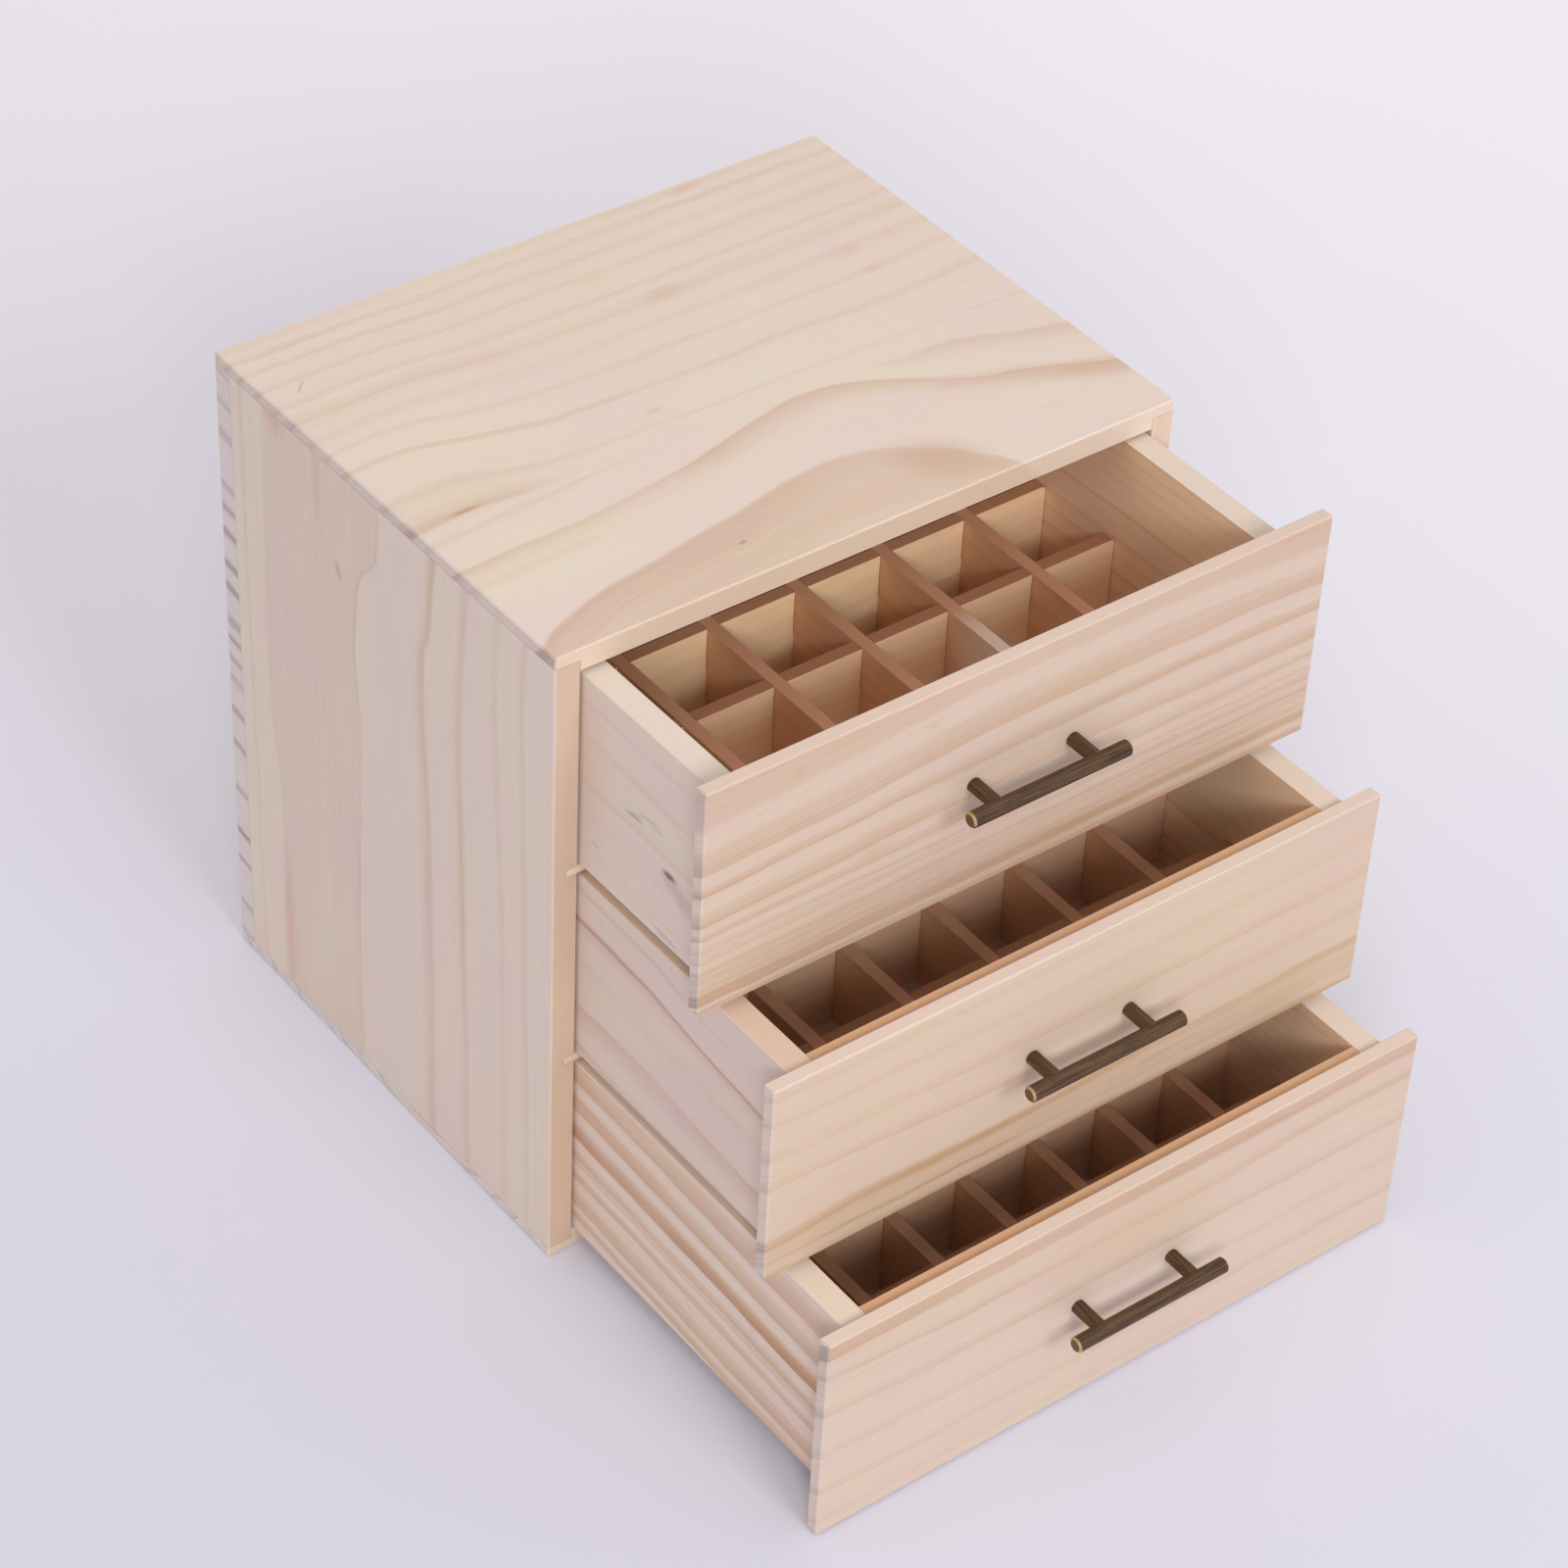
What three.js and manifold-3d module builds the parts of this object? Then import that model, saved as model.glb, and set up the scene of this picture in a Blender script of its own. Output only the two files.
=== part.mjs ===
// A pine storage box for bottles of essential oil, with three drawers pulled out by steps.
// The case is rebated at its corners and holds two thin shelves in grooves. Each drawer is a box
// with a thin overlay front, a panel bottom in grooves and a low egg-crate grid of half-lapped slats.
// Millimetres, +Z up, the fronts face -Y, and the origin is the centre of the base.

import * as THREE from "three";
import { mergeVertices } from "three/addons/utils/BufferGeometryUtils.js";
import Module from "manifold-3d";

const wasm = await Module();
wasm.setup();

// Case
const caseWidth = 310;
const caseDepth = 246;
const caseHeight = 323;
const sideThickness = 11.5;
const topThickness = 10.5;
const bottomThickness = 10;
const backThickness = 11;
const topLip = 5.5; // left above the rebates of the top board
const bottomLip = 5; // left below the rebates of the bottom board
const shelfThickness = 3.5;
const shelfHousing = 5; // how far a shelf enters its groove in a side
const glueLine = 0.2; // between glued faces
const arrisEase = 0.7; // sanded off the outer corners

// Drawers, from the top: how far each is pulled out, and the bottle cells across and along it
const topOpenLength = 90;
const middleOpenLength = 139;
const bottomOpenLength = 181;
const drawers = [
  { name: "top", openLength: topOpenLength, columns: 6, rows: 5 },
  { name: "middle", openLength: middleOpenLength, columns: 6, rows: 5 },
  { name: "bottom", openLength: bottomOpenLength, columns: 7, rows: 6 },
];
const drawerSideGap = 1.5; // between a drawer and a side of the case
const drawerRunGap = 0.3; // between a drawer and what it slides on
const drawerTopGap = 2;
const drawerRearGap = 2;
const wallThickness = 11.6;
const innerThickness = 6.6; // the inner front and the rear wall
const frontThickness = 6.6;
const frontGap = 0.8; // between two overlay fronts, and under the lowest one
const panelThickness = 3.5;
const panelRaise = 3; // from the drawer's underside to its bottom panel
const panelHousing = 4; // how far the panel enters its grooves
const boxEase = 0.5;

// Slats of the bottle grids
const slatThickness = 6;
const slatHeight = 40;
const slatFit = 0.3; // clearance in a lap, on the panel and at a slat's ends
const slatCorner = 2; // radius of a slat's upper corners
const cornerSteps = 3;

// T-bar pulls
const pullLength = 80;
const pullDiameter = 7;
const pullChamfer = 0.8;
const pullReach = 16.5; // from the face of the front to the axis of the bar
const postSpacing = 50;
const postDiameter = 6.4;
const screwDiameter = 4;
const screwHeadDiameter = 8; // countersunk
const screwHeadLand = 0.6;
const pullFit = 0.3; // clearance round the screws and under the posts
const pullSides = 24;
const screwSides = 16;

const overrun = 3; // how far a cutter runs past what it cuts

// Three equal bays, with a shelf between each two
const shelfCount = drawers.length - 1;
const bayHeight =
  (caseHeight - topThickness - bottomThickness - shelfCount * shelfThickness) / drawers.length;
const bayPitch = bayHeight + shelfThickness;
const drawerHeight = bayHeight - drawerRunGap - drawerTopGap;
const drawerWidth = caseWidth - 2 * (sideThickness + drawerSideGap);
const drawerLength = caseDepth - backThickness - drawerRearGap;
const innerWidth = drawerWidth - 2 * wallThickness;
const innerLength = drawerLength - 2 * innerThickness;
const caseFront = -caseDepth / 2;
const backFace = caseDepth / 2 - backThickness; // the back board's inner face

// The height of a bay's floor, counted from the top bay: the upper face of a shelf or of the bottom board.
const bayFloor = (bay) => caseHeight - topThickness - bayHeight - bay * bayPitch;

const pine = new THREE.MeshStandardMaterial({ color: 0xe4cfb8, roughness: 0.62, metalness: 0 });
const pineShade = new THREE.MeshStandardMaterial({ color: 0xd9bfa6, roughness: 0.66, metalness: 0 });
const plywood = new THREE.MeshStandardMaterial({ color: 0xdcc3a4, roughness: 0.7, metalness: 0 });
const slatWood = new THREE.MeshStandardMaterial({ color: 0xcfae8e, roughness: 0.7, metalness: 0 });
const bronze = new THREE.MeshStandardMaterial({ color: 0x5a4c3d, roughness: 0.4, metalness: 1 });

// Turns a closed three.js geometry into a solid.
function solidOf(geometry) {
  const bare = geometry.clone();
  bare.deleteAttribute("normal");
  bare.deleteAttribute("uv");
  const merged = mergeVertices(bare);
  return new wasm.Manifold(
    new wasm.Mesh({
      numProp: 3,
      vertProperties: merged.getAttribute("position").array,
      triVerts: new Uint32Array(merged.index.array),
    }),
  );
}

// Turns a solid back into a named mesh.
function meshOf(name, solid, material) {
  const { numProp, vertProperties, triVerts } = solid.getMesh();
  const positions = new Float32Array((vertProperties.length / numProp) * 3);
  for (let i = 0; i < positions.length / 3; i++) {
    positions.set(vertProperties.subarray(i * numProp, i * numProp + 3), i * 3);
  }
  const geometry = new THREE.BufferGeometry();
  geometry.setAttribute("position", new THREE.BufferAttribute(positions, 3));
  geometry.setIndex(new THREE.BufferAttribute(new Uint32Array(triVerts), 1));
  geometry.computeVertexNormals();
  const mesh = new THREE.Mesh(geometry, material.clone());
  mesh.name = name;
  return mesh;
}

// The outline (u, v) goes to these world axes, and is carried along the third one.
const carryFrames = {
  x: [new THREE.Vector3(0, 1, 0), new THREE.Vector3(0, 0, 1), new THREE.Vector3(1, 0, 0)],
  y: [new THREE.Vector3(-1, 0, 0), new THREE.Vector3(0, 0, 1), new THREE.Vector3(0, 1, 0)],
  z: [new THREE.Vector3(1, 0, 0), new THREE.Vector3(0, 1, 0), new THREE.Vector3(0, 0, 1)],
};

// A moulding: an outline in the plane across an axis, carried along that axis from start to end.
// Across x the outline is (y, z), across y it is (x, z), and across z it is (x, y).
function moulding(axis, outline, start, end) {
  const shape = new THREE.Shape();
  const flip = axis === "y" ? -1 : 1;
  outline.forEach(([u, v], i) => (i ? shape.lineTo(flip * u, v) : shape.moveTo(flip * u, v)));
  shape.closePath();
  const geometry = new THREE.ExtrudeGeometry(shape, { depth: end - start, bevelEnabled: false, steps: 1 });
  const [u, v, w] = carryFrames[axis];
  geometry.applyMatrix4(new THREE.Matrix4().makeBasis(u, v, w));
  geometry.translate(w.x * start, w.y * start, w.z * start);
  return solidOf(geometry);
}

// A plain board or a straight cutter between two corners.
function block([x0, y0, z0], [x1, y1, z1]) {
  return moulding("z", [[x0, y0], [x1, y0], [x1, y1], [x0, y1]], z0, z1);
}

// A block whose twelve corners are chamfered by ease: what is left of a box after its arrises are sanded.
function easedBlock([x0, y0, z0], [x1, y1, z1], ease) {
  const across = (a0, b0, a1, b1) => [
    [a0 + ease, b0], [a1 - ease, b0], [a1, b0 + ease], [a1, b1 - ease],
    [a1 - ease, b1], [a0 + ease, b1], [a0, b1 - ease], [a0, b0 + ease],
  ];
  return moulding("z", across(x0, y0, x1, y1), z0, z1)
    .intersect(moulding("x", across(y0, z0, y1, z1), x0, x1))
    .intersect(moulding("y", across(x0, z0, x1, z1), y0, y1));
}

// Case
const sandedCase = easedBlock(
  [-caseWidth / 2, caseFront, 0],
  [caseWidth / 2, caseDepth / 2, caseHeight],
  arrisEase,
);

// The top or bottom board: rebated on its left, right and rear edges, so that only a lip covers the sides
// and the back. Its inner face is at z = inner and its outer face at z = outer.
function capBoard(inner, outer, lip) {
  const half = caseWidth / 2;
  const shoulder = half - sideThickness - glueLine;
  const lipFace = outer + Math.sign(inner - outer) * lip;
  const outline = [
    [-half, outer], [half, outer], [half, lipFace], [shoulder, lipFace],
    [shoulder, inner], [-shoulder, inner], [-shoulder, lipFace], [-half, lipFace],
  ];
  const past = inner + Math.sign(inner - outer) * overrun;
  const rearRebate = block(
    [-half - overrun, backFace - glueLine, Math.min(lipFace, past)],
    [half + overrun, caseDepth / 2 + overrun, Math.max(lipFace, past)],
  );
  return moulding("y", outline, caseFront, caseDepth / 2).subtract(rearRebate).intersect(sandedCase);
}

// One side of the case: grooved for the shelves, and standing in the rebates of the top and bottom boards.
function sideBoard(hand) {
  const outer = (hand * caseWidth) / 2;
  const inner = outer - hand * sideThickness;
  const low = bottomLip + glueLine;
  const high = caseHeight - topLip - glueLine;
  const grooveFloor = inner + hand * (shelfHousing + glueLine);
  const outline = [[outer, low], [outer, high], [inner, high]];
  for (let bay = 0; bay < shelfCount; bay++) {
    const above = bayFloor(bay) + glueLine;
    const below = bayFloor(bay) - shelfThickness - glueLine;
    outline.push([inner, above], [grooveFloor, above], [grooveFloor, below], [inner, below]);
  }
  outline.push([inner, low]);
  return moulding("y", outline, caseFront, backFace - glueLine).intersect(sandedCase);
}

// The back board covers the rear edges of the sides and stands in the rear rebates.
function backBoard() {
  return block(
    [-caseWidth / 2, backFace, bottomLip + glueLine],
    [caseWidth / 2, caseDepth / 2, caseHeight - topLip - glueLine],
  ).intersect(sandedCase);
}

// A shelf runs from groove to groove and from the front edge of the sides to the back board.
function shelf(top) {
  const half = caseWidth / 2 - sideThickness + shelfHousing;
  return block([-half, caseFront, top - shelfThickness], [half, backFace - glueLine, top]);
}

function buildCase() {
  const group = new THREE.Group();
  group.add(
    meshOf("case_top", capBoard(caseHeight - topThickness, caseHeight, topLip), pine),
    meshOf("case_bottom", capBoard(bottomThickness, 0, bottomLip), pine),
    meshOf("case_side_left", sideBoard(-1), pineShade),
    meshOf("case_side_right", sideBoard(1), pineShade),
    meshOf("case_back", backBoard(), pine),
  );
  ["upper", "lower"].forEach((name, bay) => {
    group.add(meshOf("shelf_" + name, shelf(bayFloor(bay)), plywood));
  });
  return group;
}

// Drawers, each in a frame of its own: z = 0 is its underside, y = 0 the back face of its overlay front,
// and the box runs back along +Y.
const sandedBox = easedBlock(
  [-drawerWidth / 2, 0, 0],
  [drawerWidth / 2, drawerLength, drawerHeight],
  boxEase,
);
const grooveLow = panelRaise - glueLine;
const grooveHigh = panelRaise + panelThickness + glueLine;

// A grooved board of the drawer box as an outline: across is the inner face, out the outer face.
function groovedOutline(across, out) {
  const depth = across + Math.sign(out - across) * (panelHousing + glueLine);
  return [
    [out, 0], [out, drawerHeight], [across, drawerHeight], [across, grooveHigh],
    [depth, grooveHigh], [depth, grooveLow], [across, grooveLow], [across, 0],
  ];
}

// A side wall runs from the overlay front to the rear end. Its groove for the panel stops short of the ends.
function drawerWall(hand) {
  const outer = (hand * drawerWidth) / 2;
  const inner = outer - hand * wallThickness;
  const grooveEnd = innerThickness - panelHousing - glueLine;
  const across = inner + hand * (panelHousing + glueLine);
  const groove = block(
    [Math.min(inner, across) - (hand > 0 ? overrun : 0), grooveEnd, grooveLow],
    [Math.max(inner, across) + (hand < 0 ? overrun : 0), drawerLength - grooveEnd, grooveHigh],
  );
  const wall = block(
    [Math.min(inner, outer), glueLine, 0],
    [Math.max(inner, outer), drawerLength, drawerHeight],
  );
  return wall.subtract(groove).intersect(sandedBox);
}

// The inner front or the rear wall stands between the side walls.
function drawerEnd(inner, outer) {
  const half = innerWidth / 2 - glueLine;
  return moulding("x", groovedOutline(inner, outer), -half, half).intersect(sandedBox);
}

function drawerPanel() {
  const half = innerWidth / 2 + panelHousing;
  return block(
    [-half, innerThickness - panelHousing, panelRaise],
    [half, drawerLength - innerThickness + panelHousing, panelRaise + panelThickness],
  );
}

// Points of a quarter turn about (u, v), from one angle to another.
function arc(u, v, radius, from, to) {
  return Array.from({ length: cornerSteps + 1 }, (_, i) => {
    const angle = from + ((to - from) * i) / cornerSteps;
    return [u + radius * Math.cos(angle), v + radius * Math.sin(angle)];
  });
}

// A slat seen from its face: from start to end, with a half-lap slot at each place in slots.
// Slots open downwards or upwards, and reach the middle of the slat.
function slatOutline(start, end, slots, opensDown) {
  const low = panelRaise + panelThickness + slatFit;
  const high = low + slatHeight;
  const middle = (low + high) / 2 + ((opensDown ? 1 : -1) * slatFit) / 2;
  const reach = slatThickness / 2 + slatFit;
  const notch = (place, edge) => [
    [place - reach, edge], [place - reach, middle], [place + reach, middle], [place + reach, edge],
  ];
  return [
    [start, low],
    ...(opensDown ? slots.flatMap((place) => notch(place, low)) : []),
    [end, low],
    ...arc(end - slatCorner, high - slatCorner, slatCorner, 0, Math.PI / 2),
    ...(opensDown ? [] : slots.flatMap((place) => notch(place, high)).reverse()),
    ...arc(start + slatCorner, high - slatCorner, slatCorner, Math.PI / 2, Math.PI),
  ];
}

// Centres of the slats that divide a length into equal cells.
function slatPlaces(start, length, cells) {
  const cell = (length - (cells - 1) * slatThickness) / cells;
  const pitch = cell + slatThickness;
  return Array.from({ length: cells - 1 }, (_, i) => start + (i + 1) * pitch - slatThickness / 2);
}

// The bottle grid: lengthwise slats with slots below, and crosswise slats with slots above.
function bottleGrid(name, columns, rows) {
  const group = new THREE.Group();
  const across = slatPlaces(-innerWidth / 2, innerWidth, columns);
  const along = slatPlaces(innerThickness, innerLength, rows);
  const frontEnd = innerThickness + slatFit;
  const rearEnd = drawerLength - innerThickness - slatFit;
  const sideEnd = innerWidth / 2 - slatFit;
  const lengthwise = slatOutline(frontEnd, rearEnd, along, true);
  const crosswise = slatOutline(-sideEnd, sideEnd, across, false);
  const slat = (axis, outline, place) =>
    moulding(axis, outline, place - slatThickness / 2, place + slatThickness / 2);
  across.forEach((x, i) => {
    group.add(meshOf(`${name}_slat_lengthwise_${i + 1}`, slat("x", lengthwise, x), slatWood));
  });
  along.forEach((y, i) => {
    group.add(meshOf(`${name}_slat_crosswise_${i + 1}`, slat("y", crosswise, y), slatWood));
  });
  return group;
}

// A turned piece: profile points (radius, distance) about an axis along x or y, from the point at.
function turned(profile, sides, axis, [x, y, z]) {
  const lathe = new THREE.LatheGeometry(profile.map(([r, d]) => new THREE.Vector2(r, d)), sides);
  if (axis === "x") {
    lathe.rotateZ(-Math.PI / 2);
  }
  lathe.translate(x, y, z);
  return solidOf(lathe);
}

// A countersunk screw whose tip is inside the post and whose head ends flush with the inner front,
// grown all round by clearance. Distances run back from the face of the overlay front.
function screwProfile(clearance) {
  const shank = screwDiameter / 2 + clearance;
  const head = screwHeadDiameter / 2 + clearance;
  const headFace = frontThickness + innerThickness + (clearance ? overrun : 0);
  const landStart = frontThickness + innerThickness - screwHeadLand - clearance;
  const coneStart = landStart - (head - shank);
  const tip = clearance ? -overrun : -pullReach / 2;
  return [[0, tip], [shank, tip], [shank, coneStart], [head, landStart], [head, headFace], [0, headFace]];
}

// The pull: a chamfered bar on two posts, with its screws, centred on a front at height z.
function pull(z) {
  const half = pullLength / 2;
  const r = pullDiameter / 2;
  const bar = turned(
    [[0, -half], [r - pullChamfer, -half], [r, -half + pullChamfer], [r, half - pullChamfer],
      [r - pullChamfer, half], [0, half]],
    pullSides, "x", [0, -frontThickness - pullReach, z],
  );
  const post = [
    [0, -pullReach], [postDiameter / 2, -pullReach], [postDiameter / 2, -pullFit], [0, -pullFit],
  ];
  return [-1, 1].reduce((solid, hand) => {
    const foot = [(hand * postSpacing) / 2, -frontThickness, z];
    return solid.add(turned(post, pullSides, "y", foot)).add(turned(screwProfile(0), screwSides, "y", foot));
  }, bar);
}

// The two screw holes of a front, countersunk from inside.
function screwHoles(z) {
  const hole = (hand) =>
    turned(screwProfile(pullFit), screwSides, "y", [(hand * postSpacing) / 2, -frontThickness, z]);
  return hole(-1).add(hole(1));
}

// One drawer: its box, its bottle grid, its overlay front from frontLow to frontHigh, and its pull.
function buildDrawer(name, frontLow, frontHigh, columns, rows) {
  const group = new THREE.Group();
  const pullHeight = (frontLow + frontHigh) / 2;
  const holes = screwHoles(pullHeight);
  const overlay = easedBlock(
    [-caseWidth / 2, -frontThickness, frontLow],
    [caseWidth / 2, 0, frontHigh],
    arrisEase,
  ).subtract(holes);
  group.add(
    meshOf(name + "_front", overlay, pine),
    meshOf(name + "_inner_front", drawerEnd(innerThickness, glueLine).subtract(holes), pine),
    meshOf(name + "_rear_wall", drawerEnd(drawerLength - innerThickness, drawerLength), pine),
    meshOf(name + "_wall_left", drawerWall(-1), pineShade),
    meshOf(name + "_wall_right", drawerWall(1), pineShade),
    meshOf(name + "_panel", drawerPanel(), plywood),
    meshOf(name + "_pull", pull(pullHeight), bronze),
    bottleGrid(name, columns, rows),
  );
  return group;
}

const box = new THREE.Group();
box.add(buildCase());
drawers.forEach(({ name, openLength, columns, rows }, bay) => {
  const underside = bayFloor(bay) + drawerRunGap;
  const isTop = bay === 0;
  const isBottom = bay === shelfCount;
  const shelfBelow = bayFloor(bay) - shelfThickness / 2;
  const frontLow = isBottom ? frontGap : shelfBelow + frontGap / 2;
  const frontHigh = isTop ? caseHeight : shelfBelow + bayPitch - frontGap / 2;
  const drawer = buildDrawer("drawer_" + name, frontLow - underside, frontHigh - underside, columns, rows);
  drawer.position.set(0, caseFront - openLength, underside);
  box.add(drawer);
});

export default box;
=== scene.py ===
"""Pine storage box with three drawers of bottle cells: its finishes, pulls, studio and camera."""

import logging
from collections.abc import Callable
from dataclasses import dataclass, replace
from enum import Enum
from functools import partial

import bpy
import numpy as np
from mathutils import Euler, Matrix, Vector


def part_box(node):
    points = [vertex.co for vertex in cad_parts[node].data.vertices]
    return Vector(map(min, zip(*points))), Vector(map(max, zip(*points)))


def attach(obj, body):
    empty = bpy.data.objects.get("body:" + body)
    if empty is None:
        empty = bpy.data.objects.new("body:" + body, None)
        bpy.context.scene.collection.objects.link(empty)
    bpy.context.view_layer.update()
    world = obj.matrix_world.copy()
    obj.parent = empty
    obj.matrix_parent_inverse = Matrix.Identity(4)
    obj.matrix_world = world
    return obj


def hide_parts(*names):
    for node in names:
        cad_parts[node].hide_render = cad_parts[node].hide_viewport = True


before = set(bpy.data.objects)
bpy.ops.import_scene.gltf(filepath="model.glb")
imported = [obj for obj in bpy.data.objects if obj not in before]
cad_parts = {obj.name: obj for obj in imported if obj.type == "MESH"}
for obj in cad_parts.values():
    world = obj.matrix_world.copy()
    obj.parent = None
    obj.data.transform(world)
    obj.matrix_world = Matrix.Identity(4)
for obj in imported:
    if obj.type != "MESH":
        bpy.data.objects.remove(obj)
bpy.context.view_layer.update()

LOG = logging.getLogger("storage_box")

MM = 0.001

Pair = tuple[float, float]
Pairs = tuple[Pair, ...]
Triple = tuple[float, float, float]
Shell = tuple[np.ndarray, list[tuple[int, ...]]]
Material = bpy.types.Material
Socket = bpy.types.NodeSocket
Spot = tuple[Socket, Socket, Socket]
Add = Callable[..., Socket | None]


class Axis(Enum):
    """A direction of the row frame, by its place in a coordinate."""

    X = 0
    Y = 1
    Z = 2


X, Y, Z = Axis


def linear(code: str) -> tuple[float, float, float, float]:
    """Turn an sRGB hex colour into linear light.

    Args:
        code: the colour as six hex digits after a hash sign.

    Returns:
        Red, green and blue in linear light, and an alpha of one.
    """
    tones = np.array([int(code[i : i + 2], 16) for i in (1, 3, 5)]) / 255.0
    light = np.where(tones <= 0.04045, tones / 12.92, ((tones + 0.055) / 1.055) ** 2.4)
    return (float(light[0]), float(light[1]), float(light[2]), 1.0)


def add_node(
    tree: bpy.types.NodeTree,
    kind: str,
    *feeds: object,
    curve: Pairs | None = None,
    sharp: bool = False,
    stops: tuple[tuple[float, str], ...] | None = None,
    pick: str | None = None,
    **settings: object,
) -> Socket | None:
    """Add a node with its settings and links.

    Args:
        tree: the node tree that gets it.
        kind: its type, without the ShaderNode in front; after a stroke, its operation, or for a
            Mix its data type.
        *feeds: a socket or a value for each live input, in order, or a dict of them by name.
        curve: the points of a float curve, from left to right.
        sharp: whether the curve turns sharply at its points.
        stops: the (place, hex colour) stops of a colour ramp.
        pick: the name of the output that is wanted, where it isn't the first live one.
        **settings: the node's own properties.

    Returns:
        The output socket, or None where the node has none.
    """
    kind, _, choice = kind.partition("/")
    node = tree.nodes.new("ShaderNode" + kind)
    if choice:
        setattr(node, "data_type" if kind == "Mix" else "operation", choice)
    for name, value in settings.items():
        setattr(node, name, value)
    if curve is not None:
        drawn = node.mapping.curves[0]
        drawn.points[0].location = curve[0]
        drawn.points[1].location = curve[-1]
        for place in curve[1:-1]:
            drawn.points.new(*place)
        for point in drawn.points:
            point.handle_type = "VECTOR" if sharp else "AUTO_CLAMPED"
        node.mapping.update()
    if stops is not None:
        ramp = node.color_ramp.elements
        ramp[0].position, ramp[0].color = stops[0][0], linear(stops[0][1])
        ramp[1].position, ramp[1].color = stops[-1][0], linear(stops[-1][1])
        for place, code in stops[1:-1]:
            ramp.new(place).color = linear(code)
    pins = [pin for pin in node.inputs if pin.enabled]
    fed = []
    for pin, value in zip(pins, feeds):
        if isinstance(value, dict):
            fed += [(next(p for p in pins if p.name == name), v) for name, v in value.items()]
        else:
            fed.append((pin, value))
    for pin, value in fed:
        if isinstance(value, Socket):
            tree.links.new(value, pin)
        else:
            pin.default_value = value
    if pick is not None:
        return node.outputs[pick]
    return next((out for out in node.outputs if out.enabled), None)


def blank(name: str) -> tuple[Material, Add]:
    """Make an empty material and return it with what adds a node to it."""
    material = bpy.data.materials.new(name)
    material.use_nodes = True
    material.node_tree.nodes.clear()
    return material, partial(add_node, material.node_tree)


@dataclass(frozen=True)
class Ring:
    """A growth line on the face of a board.

    path: its (along the grain, across it) points in mm of the row frame.
    shade: (offset across in mm, darkness) pairs of the wood on both sides of it.
    along: (place along the grain in mm, strength) pairs, where the line comes and goes.
    """

    path: Pairs
    shade: Pairs
    along: Pairs | None = None


@dataclass(frozen=True)
class Mark:
    """A knot, pitch streak or mineral fleck on the face of a board, as a soft ellipse in mm.

    at: its (along, across) place; size: its half length and half width; turn: radians.
    colour and cover: what it turns the wood to, and how far.
    """

    at: Pair
    size: Pair
    colour: str
    cover: float
    turn: float = 0.0


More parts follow.
